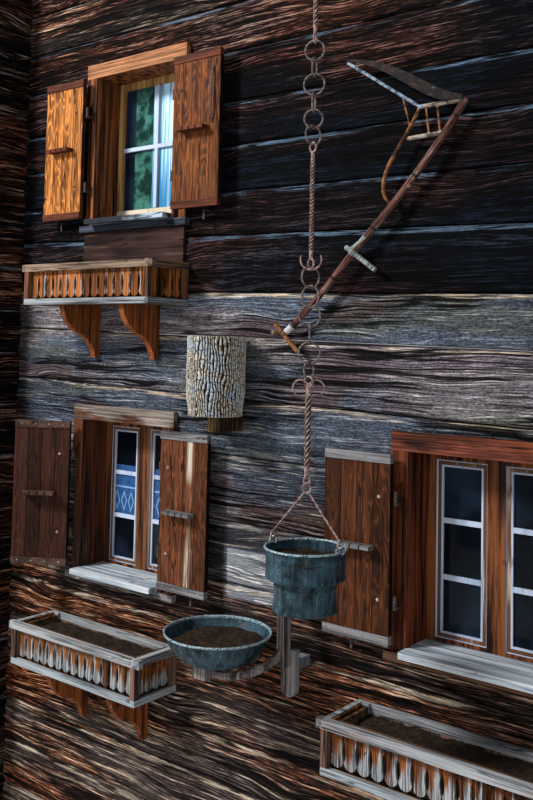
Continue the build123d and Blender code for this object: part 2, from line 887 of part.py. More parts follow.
# The planter's bracket, the basin's bearer with its crooked brace, and the paddle with its post
with BuildPart() as planter_brackets:
    wide, reach, tall = planter_bracket
    slab((planter_x + planter_bracket_shift - wide / 2, depth(reach), planter_base - seat - tall),
         (planter_x + planter_bracket_shift + wide / 2, depth(seat), planter_base - seat))
    wide, reach, tall = bearer
    bearer_top = basin_base - seat
    slab((basin_x - wide / 2, depth(reach), bearer_top - tall),
         (basin_x + wide / 2, depth(seat), bearer_top))
    paddle_face = paddle_off_wall + paddle_thickness
    branch_foot = Vector(basin_x, depth(basin_off_wall + branch_start), bearer_top - tall + branch_radius)
    branch_head = Vector(paddle_x - branch_end_inset, depth(paddle_face + post_depth / 2),
                         post_foot + branch_rise)
    branch_belly = (branch_foot + branch_head) / 2 + Vector(*branch_sag)
    with BuildLine() as branch:
        ThreePointArc(branch_foot, branch_belly, branch_head)
    with BuildSketch(Plane(origin=branch_foot, z_dir=branch.line % 0)):
        RegularPolygon(branch_radius, 8)
    sweep()
    with BuildSketch(face(paddle_off_wall)):
        with BuildLine():
            half = paddle_width / 2
            Line((paddle_x - half, paddle_foot + half), (paddle_x - half, paddle_top))
            Line((paddle_x - half, paddle_top), (paddle_x + half, paddle_top))
            Line((paddle_x + half, paddle_top), (paddle_x + half, paddle_foot + half))
            ThreePointArc((paddle_x + half, paddle_foot + half), (paddle_x, paddle_foot),
                          (paddle_x - half, paddle_foot + half))
        make_face()
    extrude(amount=paddle_thickness)
    post_left = paddle_x - paddle_width / 2 + post_inset
    half = paddle_block / 2
    blocks = [(paddle_x, paddle_foot + block_inset), (post_left + post_width / 2, post_top - block_inset)]
    for x, z in blocks:
        slab((x - half, depth(paddle_face), z), (x + half, depth(seat), z + paddle_block))
    slab((post_left, depth(paddle_face + post_depth), post_foot),
         (post_left + post_width, depth(paddle_face), post_top))
save(planter_brackets, "planter_brackets")


# Kettle chain: rods with eyes and hooks, rings and links between them, and the arm that carries it
def chain_plane(z, turn, x=tub_x):
    """An upright plane through the chain's line at this height, turned about that line."""
    angle = radians(turn)
    return Plane(origin=(x, depth(tub_off_wall), z), x_dir=(cos(angle), sin(angle), 0),
                 z_dir=(sin(angle), -cos(angle), 0))


def forged_ring(z, radius, turn, x=tub_x):
    """A round ring of six-sided bar."""
    plane = chain_plane(z, turn, x)
    with BuildSketch(Plane(origin=plane.origin + plane.x_dir * radius, x_dir=plane.x_dir,
                           z_dir=(0, 0, 1))) as bar:
        RegularPolygon(wire, 6)
    revolve(bar.sketch, axis=Axis(plane.origin, plane.z_dir))


def forged_link(z, half_length, turn):
    """A long link of six-sided bar, with round ends."""
    end = link_end_share * half_length
    straight = half_length - end
    with BuildLine(chain_plane(z, turn)) as path:
        Line((end, -straight), (end, straight))
        ThreePointArc((end, straight), (0, half_length), (-end, straight))
        Line((-end, straight), (-end, -straight))
        ThreePointArc((-end, -straight), (0, -half_length), (end, -straight))
    with BuildSketch(Plane(origin=path.wire() @ 0, z_dir=path.wire() % 0)) as bar:
        RegularPolygon(wire, 6)
    sweep(bar.sketch, path=path.wire())


def bar_between(foot, head, radius):
    """A straight six-sided bar between two (x, z) points in the chain's plane."""
    start = Vector(foot[0], depth(tub_off_wall), foot[1])
    end = Vector(head[0], depth(tub_off_wall), head[1])
    with BuildSketch(Plane(origin=start, z_dir=end - start)) as bar:
        RegularPolygon(radius, 6)
    extrude(bar.sketch, amount=(end - start).length)


def hung(upper_reach, lower_reach):
    """Distance between the centres of two elements, the lower hanging in the upper."""
    return upper_reach + lower_reach - 2 * wire - seat


def hang(start, elements):
    """The elements of a drop that hangs from an eye centred at start, and the next eye's centre."""
    z, reach, places = start, eye_reach, []
    for kind, size, turn in elements:
        z -= hung(reach, size)
        reach = size
        places.append((kind, z, size, turn))
    return places, z - hung(reach, eye_reach)


def rod_with_eyes(foot_eye, head_eye, radius, foot_turn, head_turn):
    """An upright rod with an eye at each end, given by the eyes' centres and turns."""
    forged_ring(foot_eye, eye_reach, foot_turn)
    forged_ring(head_eye, eye_reach, head_turn)
    bar_between((tub_x, foot_eye + eye_reach), (tub_x, head_eye - eye_reach), radius)


def prong(z, start, crest, tip):
    """Bent bar on an arc through three points, in the hooks' plane."""
    with BuildLine(chain_plane(z, hook_turn)) as path:
        ThreePointArc(start, crest, tip)
    with BuildSketch(Plane(origin=path.wire() @ 0, z_dir=path.wire() % 0)) as bar:
        RegularPolygon(wire, 6)
    sweep(bar.sketch, path=path.wire())


arm_eye = arm_top - arm_section - eye_reach
top_rod_head = arm_eye - hung(eye_reach, eye_reach)
upper_places, middle_rod_head = hang(top_rod_foot, upper_drop)
middle_rod_foot = middle_rod_head - middle_rod_length
lower_places, thick_rod_head = hang(middle_rod_foot, lower_drop)
thick_rod_foot = thick_rod_head - thick_rod_length
hanger_head = thick_rod_foot - hung(eye_reach, eye_reach)
hanger_foot = tub_rim + hung(ear_radius, ear_radius)

with BuildPart() as chain_arm:
    wide, tall, thick = arm_plate
    half = arm_section / 2
    slab((tub_x - wide / 2, depth(thick), arm_top + half - tall),
         (tub_x + wide / 2, depth(seat), arm_top + half))
    slab((tub_x - half, depth(tub_off_wall + arm_overhang), arm_top - arm_section),
         (tub_x + half, depth(seat), arm_top))
    brace_foot = Vector(tub_x, depth(seat + half), arm_top - tall + arm_section)
    brace_head = Vector(tub_x, depth(brace_reach), arm_top - half)
    with BuildSketch(Plane(origin=brace_foot, x_dir=(1, 0, 0), z_dir=brace_head - brace_foot)):
        Rectangle(*brace_section)
    extrude(amount=(brace_head - brace_foot).length)
    forged_ring(arm_eye, eye_reach, 0)
save(chain_arm, "chain_arm")

with BuildPart() as chain_rods:
    rod_with_eyes(top_rod_foot, top_rod_head, rod_radius, upper_drop[0][2] + 90, 90)
    rod_with_eyes(middle_rod_foot, middle_rod_head, rod_radius, lower_drop[0][2] + 90,
                  upper_drop[-1][2] + 90)
    reach, rise = foot_hook
    prong(middle_rod_foot - foot_hook_drop, (-reach, rise), (0, 0), (reach, rise))
    rod_with_eyes(thick_rod_foot, thick_rod_head, thick_rod_radius, 90, lower_drop[-1][2] + 90)
    (crest, crest_rise), (tip, tip_rise) = head_hook
    for side in (-1, 1):
        prong(thick_rod_head - head_hook_drop, (0, 0), (side * crest, crest_rise), (side * tip, tip_rise))
    forged_ring(hanger_head, eye_reach, 0)
    for side in (-1, 1):
        ear_x = tub_x + side * tub_rim_radius
        bar_between((tub_x + side * hanger_start[0] * eye_reach, hanger_head - hanger_start[1] * eye_reach),
                    (ear_x, hanger_foot + ear_radius), wire)
        forged_ring(hanger_foot, ear_radius, 90, ear_x)
save(chain_rods, "chain_rods")

with BuildPart() as chain_links:
    for kind, z, size, turn in upper_places + lower_places:
        if kind == "ring":
            forged_ring(z, size, turn)
        else:
            forged_link(z, size, turn)
save(chain_links, "chain_links")


# Scythe: a bent snath with two grips, a blade and a bow cradle, resting on two wall pegs
scythe_plane = face(scythe_off_wall)


def scythe_bar(start, end, radius):
    """A round bar between two (x, z) points in the scythe's plane."""
    foot, head = scythe_plane.from_local_coords(start), scythe_plane.from_local_coords(end)
    with BuildSketch(Plane(origin=foot, z_dir=head - foot)) as bar:
        Circle(radius)
    extrude(bar.sketch, amount=(head - foot).length)


def bent_bar(points, radius, mode=Mode.ADD):
    """A round bar along a smooth line through (x, z) points in the scythe's plane."""
    with BuildLine(scythe_plane) as path:
        Spline(*points)
    with BuildSketch(Plane(origin=path.wire() @ 0, z_dir=path.wire() % 0)) as bar:
        Circle(radius)
    sweep(bar.sketch, path=path.wire(), mode=mode)


with BuildPart() as scythe_snath:
    bent_bar(snath_line, snath_radius)
    scythe_bar(*lower_grip, grip_radius)
    scythe_bar(*side_handle, grip_radius)
    scythe_bar(*side_bracket, bracket_radius)
save(scythe_snath, "scythe_snath")

with BuildPart() as scythe_blade:
    with BuildSketch(face(scythe_off_wall + snath_radius + seat)):
        with BuildLine():
            Spline(*blade_back)
            Polyline(blade_back[-1], blade_heel, blade_edge[0])
            Spline(*blade_edge)
        make_face()
    extrude(amount=blade_thickness)
save(scythe_blade, "scythe_blade")

with BuildPart() as scythe_cradle:
    bent_bar(cradle_bow, bow_radius)
    scythe_bar(*cradle_finger, finger_radius)
    for start, end in cradle_bars:
        scythe_bar(start, end, bar_radius)
    for start, end in cradle_pins:
        scythe_bar(start, end, cradle_pin_radius)
    bent_bar(snath_line, snath_radius + seat, Mode.SUBTRACT)
save(scythe_cradle, "scythe_cradle")

with BuildPart() as wall_pegs:
    under = snath_radius + peg_radius + 2 * seat
    x, z = snath_line[3]
    beside = grip_radius + peg_radius + 2 * seat
    (left, high), (right, low) = lower_grip
    length = ((right - left) ** 2 + (high - low) ** 2) ** 0.5
    across = ((low - high) / length, (left - right) / length)
    near = (left + grip_peg_share * (right - left), high + grip_peg_share * (low - high))
    pegs = [(x + under * cos(radians(peg_turn)), z - under * sin(radians(peg_turn))),
            (near[0] + across[0] * beside, near[1] + across[1] * beside)]
    with BuildSketch(face(seat)):
        with Locations(*pegs):
            Circle(peg_radius)
    extrude(amount=peg_reach)
save(wall_pegs, "wall_pegs")
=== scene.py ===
"""Looks of an alpine log wall: hewn logs, joinery, fretted flower boxes, planters and ironwork.

Blender 4.5 runs it as a script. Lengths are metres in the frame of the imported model, whose wall
stands along X with its outer face towards -Y.
"""

import json

import bpy
import numpy as np
from mathutils import Euler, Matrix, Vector


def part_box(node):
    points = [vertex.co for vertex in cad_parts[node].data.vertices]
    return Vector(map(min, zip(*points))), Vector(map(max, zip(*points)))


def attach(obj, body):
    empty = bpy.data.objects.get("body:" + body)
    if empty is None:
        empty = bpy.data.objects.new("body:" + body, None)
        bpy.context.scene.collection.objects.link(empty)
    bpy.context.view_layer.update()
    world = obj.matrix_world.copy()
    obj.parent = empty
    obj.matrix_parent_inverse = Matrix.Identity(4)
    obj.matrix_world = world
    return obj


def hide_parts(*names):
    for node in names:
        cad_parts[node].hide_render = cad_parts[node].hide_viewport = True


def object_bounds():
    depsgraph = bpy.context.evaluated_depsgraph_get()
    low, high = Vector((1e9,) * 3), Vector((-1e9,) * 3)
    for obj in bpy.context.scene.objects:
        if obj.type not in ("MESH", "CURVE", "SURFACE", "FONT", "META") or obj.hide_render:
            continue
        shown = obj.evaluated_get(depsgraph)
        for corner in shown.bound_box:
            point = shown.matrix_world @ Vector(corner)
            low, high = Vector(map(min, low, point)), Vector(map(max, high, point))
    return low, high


bl_info = {
    "name": "Chalet Wall Finishes",
    "version": (1, 0, 0),
    "blender": (4, 5, 0),
    "location": "3D View > Sidebar > Chalet",
    "description": "Surfaces, finishes and a studio for a log wall with shuttered windows",
    "category": "Object",
}

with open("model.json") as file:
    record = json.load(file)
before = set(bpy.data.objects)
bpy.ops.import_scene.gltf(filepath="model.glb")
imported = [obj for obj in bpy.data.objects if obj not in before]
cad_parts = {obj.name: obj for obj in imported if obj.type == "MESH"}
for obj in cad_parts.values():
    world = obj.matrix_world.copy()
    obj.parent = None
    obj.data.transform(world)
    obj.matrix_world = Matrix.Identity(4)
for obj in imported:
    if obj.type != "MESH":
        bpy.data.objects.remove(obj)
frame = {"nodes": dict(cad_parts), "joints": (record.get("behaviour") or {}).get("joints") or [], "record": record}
cad_low, cad_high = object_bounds()
nodes = frame["nodes"]

WINDOWS = ("upper", "lower_left", "lower_right")
FRONT_LOGS = ("base_logs", "lower_pier_logs", "belt_logs", "upper_pier_logs", "crown_logs")
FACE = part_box("base_logs")[0][1]
HALF_WALL = abs(FACE)

# Sizes shared with the CAD model
LINING = 0.026
CASING = 0.088
SILL_RAIL_OVERHANG = 0.026
SILL_RAIL = 0.040
BATTEN = 0.042
BATTEN_FACE = 0.0270
BOARD_FACE = 0.0220
HINGE_GAP = 0.018
LEAF = 0.346
LEAF_WIDE = 0.359
APRON = 0.211
SASH_BORDER = 0.045
SASH_FOOT = 0.078
CENTRE_POST = 0.088
STILE = 0.032
LOG_GAP = 0.0003
LOG_BULGE = 0.004
LOG_SEAM = (0.0005, 0.0022)
RETURN_NOTCH = HALF_WALL + LOG_GAP
BOX_RAIL = 0.034
BOX_TOP_RAIL = 0.042
BOX_WALL = 0.060
SLAT_PITCH = (0.066, 0.059)
TUB_RIM = 0.168

# Where paint and tones change on the joinery, measured from the edges of a piece
BAR_INSET = 0.004
UPPER_SASH_RAIL = (0.108, 0.112)
PAINT_EDGE = 0.005
PAINT_BEAD = 0.009
BOX_ENDS = (0.030, 0.056)
TROUGH_LIP = (0.004, 0.050)
TROUGH_SIDE = 0.012

# Behind the panes, and a painted reflection on them: how far the reflected green and the curtain reach
# left of the upper sash's middle, then where the lace starts above the lower left sash's foot, its
# height and its diamonds' pitch
REFLECTION_REACH = 0.20
CURTAIN_REACH = 0.045
LACE_FOOT = 0.33
LACE_HEIGHT = 0.24
LACE_PITCH = 0.06

# Places on the scythe: the pole's direction in x and z, then distances along the pole and aside of it
POLE_RUN = (0.673, 0.739)
SIDE_GRIP = 3.251
GRIP_SLOPE = 0.124
GRIP_HALF = 0.0135
STRAP_RUN = (3.030, 3.130)
STRAP_FOOT = -1.815
STRAP_SLOPE = 0.265
STRAP_HALF = 0.011
FERRULE = 2.505
FERRULE_HALF = 0.022

# The cradle's level crossbars, where they start, and the slope of its finger from its tip
CROSSBARS = (4.109, 3.9705)
CROSSBAR_START = 1.012
FINGER_TIP = (0.668, 4.382)
FINGER_SLOPE = 0.687
FINGER_FOOT = 4.10
CRADLE_BAR = 0.013


# Numpy surfaces
def ripple(where, seed, slow, fast, waves=24):
    """Smooth noise of about -1 to 1: a sum of sine waves in random directions, slower ones larger."""
    rng = np.random.default_rng(seed)
    heading = rng.normal(size=(waves, where.shape[-1]))
    heading /= np.linalg.norm(heading, axis=1, keepdims=True)
    rate = np.exp(rng.uniform(np.log(slow), np.log(fast), waves))
    start = rng.uniform(0, 2 * np.pi, waves)
    weight = 1 / rate
    wave = np.sin(where @ (heading * rate[:, None]).T + start)
    return wave @ weight / np.sqrt((weight**2).sum() * 2)


def dips(where, seed, slow, fast):
    """The same noise as depths from 0 to 1."""
    return np.clip(0.5 + 0.5 * ripple(where, seed, slow, fast), 0, 1)


def soft_step(low, high, value):
    """0 below low, 1 above high, and an even curve between them."""
    share = np.clip((value - low) / (high - low), 0, 1)
    return share * share * (3 - 2 * share)


def signed_volume(points, quads):
    """Volume inside the faces: a sum of tetrahedra from the origin, negative if turned inside out."""
    a, b, c, d = (points[quads[:, k]] for k in range(4))
    return (np.einsum("ij,ij->i", a, np.cross(b, c)) + np.einsum("ij,ij->i", a, np.cross(c, d))).sum() / 6


class Shell:
    """The points, faces and point values of one mesh, gathered tube by tube; a value is 0 on the
    tubes that don't give it."""

    def __init__(self):
        self.points, self.faces, self.values = [], [], {}
        self.count = 0

    def tube(self, rings, loop=False, **values):
        """A grid of stations by points round each station, with a cap at both ends, or as a loop
        whose last station runs into the first one."""
        rows, columns = rings.shape[:2]
        points = rings.reshape(-1, 3)
        total = len(points)
        row, column = np.meshgrid(np.arange(rows - 1 + loop), np.arange(columns), indexing="ij")
        after = (column + 1) % columns
        quads = np.stack([row * columns + column, row * columns + after,
                          (row + 1) * columns + after, (row + 1) * columns + column], -1)
        quads = quads.reshape(-1, 4) % total
        caps = [] if loop else [list(range(columns))[::-1], list(range(total - columns, total))]
        if signed_volume(points - points.mean(axis=0), quads) < 0:
            quads, caps = quads[:, ::-1], [cap[::-1] for cap in caps]
        self.faces += [[self.count + k for k in cap] for cap in caps] + (quads + self.count).tolist()
        self.points.append(points)
        for name, value in values.items():
            self.values.setdefault(name, []).append((self.count, value.reshape(total, -1)))
        self.count += total

    def piece(self, name, finish, body="root", stands_for=(), slot=None, sharp=35):
        """Make the mesh object, with its finish, its body and the nodes that it stands for."""
        mesh = bpy.data.meshes.new(name)
        mesh.from_pydata(np.concatenate(self.points).tolist(), [], self.faces)
        for value_name, parts in self.values.items():
            data = np.zeros((self.count, parts[0][1].shape[1]))
            for start, value in parts:
                data[start:start + len(value)] = value
            kind, field = ("FLOAT_VECTOR", "vector") if data.shape[1] == 3 else ("FLOAT", "value")
            layer = mesh.attributes.new(value_name, kind, "POINT")
            layer.data.foreach_set(field, data.astype(np.float32).ravel())
        mesh.materials.append(finish)
        mesh.polygons.foreach_set("use_smooth", [True] * len(mesh.polygons))
        mesh.set_sharp_from_angle(angle=np.radians(sharp))
        mesh.update()
        piece = bpy.data.objects.new(name, mesh)
        bpy.context.scene.collection.objects.link(piece)
        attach(piece, body)
        if stands_for:
            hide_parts(*stands_for)


def node_points(name):
    """The corners of a CAD node's mesh as an array."""
    mesh = nodes[name].data
    points = np.empty(len(mesh.vertices) * 3, dtype=np.float32)
    mesh.vertices.foreach_get("co", points)
    return points.reshape(-1, 3).astype(float)


def plan_middle(name):
    """The middle of a node's box, seen from above."""
    low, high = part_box(name)
    return (low[0] + high[0]) / 2, (low[1] + high[1]) / 2


def sweep(path, outline, closed=False, up=(0, 0, 1)):
    """Carry an outline of (side, rise) offsets along a path, square to the path's direction."""
    ahead = np.roll(path, -1, axis=0) - np.roll(path, 1, axis=0)
    if not closed:
        ahead[0], ahead[-1] = path[1] - path[0], path[-1] - path[-2]
    ahead /= np.linalg.norm(ahead, axis=1, keepdims=True)
    side = np.cross(ahead, np.asarray(up, dtype=float))
    side /= np.linalg.norm(side, axis=1, keepdims=True)
    rise = np.cross(side, ahead)
    outline = np.broadcast_to(outline, (len(path),) + outline.shape[-2:])
    return path[:, None] + side[:, None] * outline[..., :1] + rise[:, None] * outline[..., 1:]


def turns(count):
    """Angles that divide a full turn evenly."""
    return np.arange(count) / count * 2 * np.pi


def circle(radius, count=10):
    """Points round a circle, as (side, rise) offsets."""
    return np.stack([np.cos(turns(count)), np.sin(turns(count))], -1) * radius


def rings_about(centre, reach, heights, turn):
    """Rings of points about an upright axis, one at each height, with a reach for each point."""
    reach, heights, turn = np.broadcast_arrays(reach, np.reshape(heights, (-1, 1)), turn)
    return np.stack([centre[0] + reach * np.cos(turn), centre[1] + reach * np.sin(turn), heights], -1)


def turned(centre, profile, turn):
    """Turn a profile of (radius, height) pairs about an upright axis."""
    radii, heights = np.transpose(profile)
    return rings_about(centre, radii[:, None], heights, turn)


def torus(centre, side, normal, radius, wire, count=30):
    """A ring of round bar whose circle lies across its normal."""
    rise = np.cross(normal, side)
    turn = turns(count)[:, None]
    path = centre + (side * np.cos(turn) + rise * np.sin(turn)) * radius
    return sweep(path, circle(wire), closed=True, up=normal)


def dome(centre, side, out, radius, count=10):
    """A domed head: circles that shrink as they rise, like the cap of a sphere."""
    turn = turns(count)[:, None]
    reach = radius * np.array([0.9, 1.0, 0.92, 0.62, 0.12])
    rise = radius * np.array([-0.15, 0.05, 0.28, 0.50, 0.60])
    circles = side * np.cos(turn) + np.cross(side, out) * np.sin(turn)
    return centre + circles[None] * reach[:, None, None] + out * rise[:, None, None]


# Shader maths
class Signal:
    """A shader socket. Python's operators on it add Math nodes and give new signals."""

    def __init__(self, finish, socket):
        self.finish, self.socket = finish, socket

    def _math(operation, turned_round=False):
        """A method for one operation of the Math node, with its own signal first or last."""
        def add(self, *others):
            values = (*others, self) if turned_round else (self, *others)
            return self.finish.node("ShaderNodeMath", {"operation": operation}, dict(enumerate(values)))
        return add

    __add__ = __radd__ = _math("ADD")
    __mul__ = __rmul__ = _math("MULTIPLY")
    __sub__, __rsub__ = _math("SUBTRACT"), _math("SUBTRACT", True)
    __truediv__, __abs__ = _math("DIVIDE"), _math("ABSOLUTE")
    __gt__, __lt__ = _math("GREATER_THAN"), _math("LESS_THAN")
    least, most = _math("MINIMUM"), _math("MAXIMUM")
    floor, sine, fold = _math("FLOOR"), _math("SINE"), _math("PINGPONG")

    def step(self, low, high):
        """0 below low, 1 above high, smooth between; low over high turns it round."""
        return self.finish.node("ShaderNodeMapRange", {"interpolation_type": "SMOOTHSTEP"},
                                {"Value": self, "From Min": low, "From Max": high})


class Finish:
    """A material that is being wired up. Every node comes from its node method."""

    def __init__(self, name):
        self.material = bpy.data.materials.new(name)
        self.material.use_nodes = True
        self.tree = self.material.node_tree
        self.tree.nodes.clear()

    def node(self, kind, settings=None, inputs=None, output=0):
        """Add a node, set its settings first, then link or set its inputs by name or number."""
        node = self.tree.nodes.new(kind)
        for name, value in (settings or {}).items():
            setattr(node, name, value)
        for key, value in (inputs or {}).items():
            if isinstance(value, Signal):
                self.tree.links.new(value.socket, node.inputs[key])
            else:
                node.inputs[key].default_value = value
        return Signal(self, node.outputs[output])

    def place(self):
        """Where the surface is, in the piece's own coordinates."""
        return self.node("ShaderNodeTexCoord", output="Object")

    def stored(self, name, output="Fac"):
        """A value stored on the mesh, or a vector."""
        return self.node("ShaderNodeAttribute", {"attribute_name": name}, output=output)

    def axes(self, where):
        """The three parts of a vector."""
        parts = self.node("ShaderNodeSeparateXYZ", None, {0: where})
        return [Signal(self, parts.socket.node.outputs[k]) for k in range(3)]

    def point(self, x, y, z):
        """A vector from three signals or numbers."""
        return self.node("ShaderNodeCombineXYZ", None, {0: x, 1: y, 2: z})

    def texture(self, kind, settings, where, scale, shift=(0, 0, 0), turn=(0, 0, 0), output=0, **inputs):
        """A texture; a scale for each axis draws it out along the axes with the small ones."""
        if isinstance(scale, tuple):
            where = self.node("ShaderNodeMapping", None, {
                "Vector": where, "Scale": scale, "Rotation": turn, "Location": shift})
            scale = 1
        return self.node(kind, settings, {"Vector": where, "Scale": scale, **inputs}, output)

    def noise(self, where, scale, detail=4, rough=0.6, shift=(0, 0, 0), turn=(0, 0, 0), twist=0):
        """Cloudy noise of about 0.3 to 0.7."""
        return self.texture("ShaderNodeTexNoise", None, where, scale, shift, turn,
                            Detail=detail, Roughness=rough, Distortion=twist)

    def cells(self, where, scale, feature="F1", shift=(0, 0, 0)):
        """Distance to the nearest of scattered points, or to the edge between two of them."""
        return self.texture("ShaderNodeTexVoronoi", {"feature": feature}, where, scale, shift,
                            output="Distance")

    def chance(self, number):
        """A random value that is the same wherever the number is."""
        return self.node("ShaderNodeTexWhiteNoise", {"noise_dimensions": "1D"}, {"W": number})

    def mix(self, first, second, share, blend="MIX"):
        """A colour between two colours, or the first one changed by the second."""
        first, second = (c if isinstance(c, Signal) else (*c, 1) for c in (first, second))
        return self.node("ShaderNodeMix", {"data_type": "RGBA", "blend_type": blend},
                         {0: share, 6: first, 7: second}, output=2)

    def shade(self, colour, amount):
        """A colour darkened or lightened by a signal."""
        grey = self.node("ShaderNodeCombineColor", None, {0: amount, 1: amount, 2: amount})
        return self.mix(colour, grey, 1.0, "MULTIPLY")

    def done(self, colour, roughness, height=None, relief=0.003, strength=0.8, metallic=0.0,
             specular=0.08):
        """Close the material with a principled shader, its bump and its output."""
        inputs = {"Base Color": colour if isinstance(colour, Signal) else (*colour, 1),
                  "Roughness": roughness, "Metallic": metallic, "Specular IOR Level": specular}
        if height is not None:
            inputs["Normal"] = self.node("ShaderNodeBump", None, {
                "Strength": strength, "Distance": relief, "Height": height})
        shader = self.node("ShaderNodeBsdfPrincipled", None, inputs)
        output = self.tree.nodes.new("ShaderNodeOutputMaterial")
        self.tree.links.new(shader.socket, output.inputs["Surface"])
        return self.material


def streaks(first, second, share, low, high):
    """Where two signals together are high; the first counts by its share."""
    return (first * share + second * (1 - share)).step(low, high)


def toned(tone, share):
    """A darker or lighter tone of a colour."""
    return tuple(min(1, c * share) for c in tone)


def fibres(f, where, along, scale=1.0):
    """Wood signals with fibres along an axis: fine streaks, broad bands, patches and long cracks."""
    def drawn(across, length):
        return tuple(scale * (length if k == along else across) for k in range(3))

    fine = f.noise(where, drawn(150, 2.6), 5, 0.7)
    band = f.noise(where, drawn(24, 1.1), twist=0.3)
    patch = f.noise(where, drawn(7, 2.2), 3, 0.5)
    line = f.noise(where, drawn(17, 0.9), 2, 0.5, twist=0.6)
    crack = abs(line - 0.5).step(0.014, 0.002) * patch.step(0.42, 0.56)
    return fine, band, patch, crack


def between(first, second, share):
    """Each of the first signals, turned into its second one by a share."""
    return [a + (b - a) * share for a, b in zip(first, second)]


def wood_done(f, wood, signals, cut, contrast, rough, relief, weights=(0.5, 0.5), strength=0.7, split=True):
    """Close a wood: cracks and fibres darken it, and lie in its relief together with the bands."""
    fine, band, _, crack = signals
    wood = f.shade(wood, (1 - crack * cut) * (1 - contrast + fine * (2 * contrast)))
    height = fine * weights[0] + band * weights[1]
    return f.done(wood, rough[0] + fine * rough[1], height - crack if split else height, relief, strength)


def rail_foot(window):
    """Underside of the rail below a window's sill; the upper window has an apron under it."""
    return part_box(f"{window}_window_frame")[0][2] + (APRON if window == "upper" else 0)


def put(material, *names):
    """Give CAD nodes a finish."""
    for name in names:
        for slot in nodes[name].material_slots:
            slot.material = material


# Sizes and colours that a user may change
def length(name, description, default):
    """A size in metres for the sidebar."""
    return bpy.props.FloatProperty(name=name, description=description, default=default, min=0,
                                   subtype="DISTANCE", unit="LENGTH", precision=4)


def colour(name, description, default):
    """A colour for the sidebar."""
    return bpy.props.FloatVectorProperty(name=name, description=description, default=default,
                                         size=3, min=0, max=1, subtype="COLOR")


class ChaletSizes(bpy.types.PropertyGroup):
    """Sizes of the modelled surfaces."""

    log_rounding: length("Log rounding", "Radius of a hewn log's long edges", 0.020)
    log_hollow: length("Hewn depth", "How deep the axe left hollows in a log's face", 0.006)
    log_station: length("Log stations", "Distance between the sections that shape a log", 0.024)
    bark_depth: length("Bark depth", "Depth of the furrows in the planter's bark", 0.009)
    bark_plate: length("Bark plates", "Width of a plate between two furrows", 0.0170)
    twist_pitch: length("Twist", "Length of one turn of the twisted chain rods", 0.060)
    wire: length("Wire", "Radius of the bar in rings and links", 0.0044)
    nail: length("Nail head", "Radius of the nail heads on the shutters", 0.0045)
    lump: length("Soil lumps", "Height of the lumps on the planters' soil", 0.016)


class ChaletColours(bpy.types.PropertyGroup):
    """Main colours of the finishes."""

    # The dark log colour stands for sun-burnt wood and also for painted shade on the upper courses.
    log_dark: colour("Dark log", "Sun-burnt, nearly black log wood", (0.0024, 0.0022, 0.0042))
    log_brown: colour("Brown log", "Red-brown log wood", (0.240, 0.066, 0.028))
    log_pale: colour("Pale log", "Log wood bleached by rain", (0.370, 0.380, 0.430))
    # The blue and cream edge colours paint highlights along the logs' ridges and top edges; the cream also colours
    # worn ridges.
    log_blue: colour("Blue edge", "Blue-grey sheen on the edges of the dark logs", (0.075, 0.145, 0.225))
    log_cream: colour("Cream edge", "Worn cream ridges of the brown logs", (0.600, 0.480, 0.340))
    larch: colour("Larch", "Orange-brown larch of the upper shutter", (0.410, 0.150, 0.034))
    board: colour("Board", "Dark red-brown shutter board", (0.060, 0.018, 0.006))
    grey_wood: colour("Grey wood", "Bare wood bleached grey", (0.360, 0.350, 0.345))
    sash: colour("Sash", "Ochre sash wood", (0.420, 0.265, 0.105))
    # The pale bar colour is worn paint, and on the lower sashes' edge lines partly painted highlight.
    white_bar: colour("Pale bar", "Worn pale paint on glazing bars", (0.370, 0.430, 0.540))
    zinc: colour("Zinc", "Blue-green zinc sheet", (0.032, 0.064, 0.085))
    iron: colour("Iron", "Forged iron", (0.160, 0.130, 0.125))
    bark: colour("Bark", "Grey-beige bark plates", (0.500, 0.460, 0.390))
    soil: colour("Soil", "Potting soil", (0.035, 0.024, 0.016))


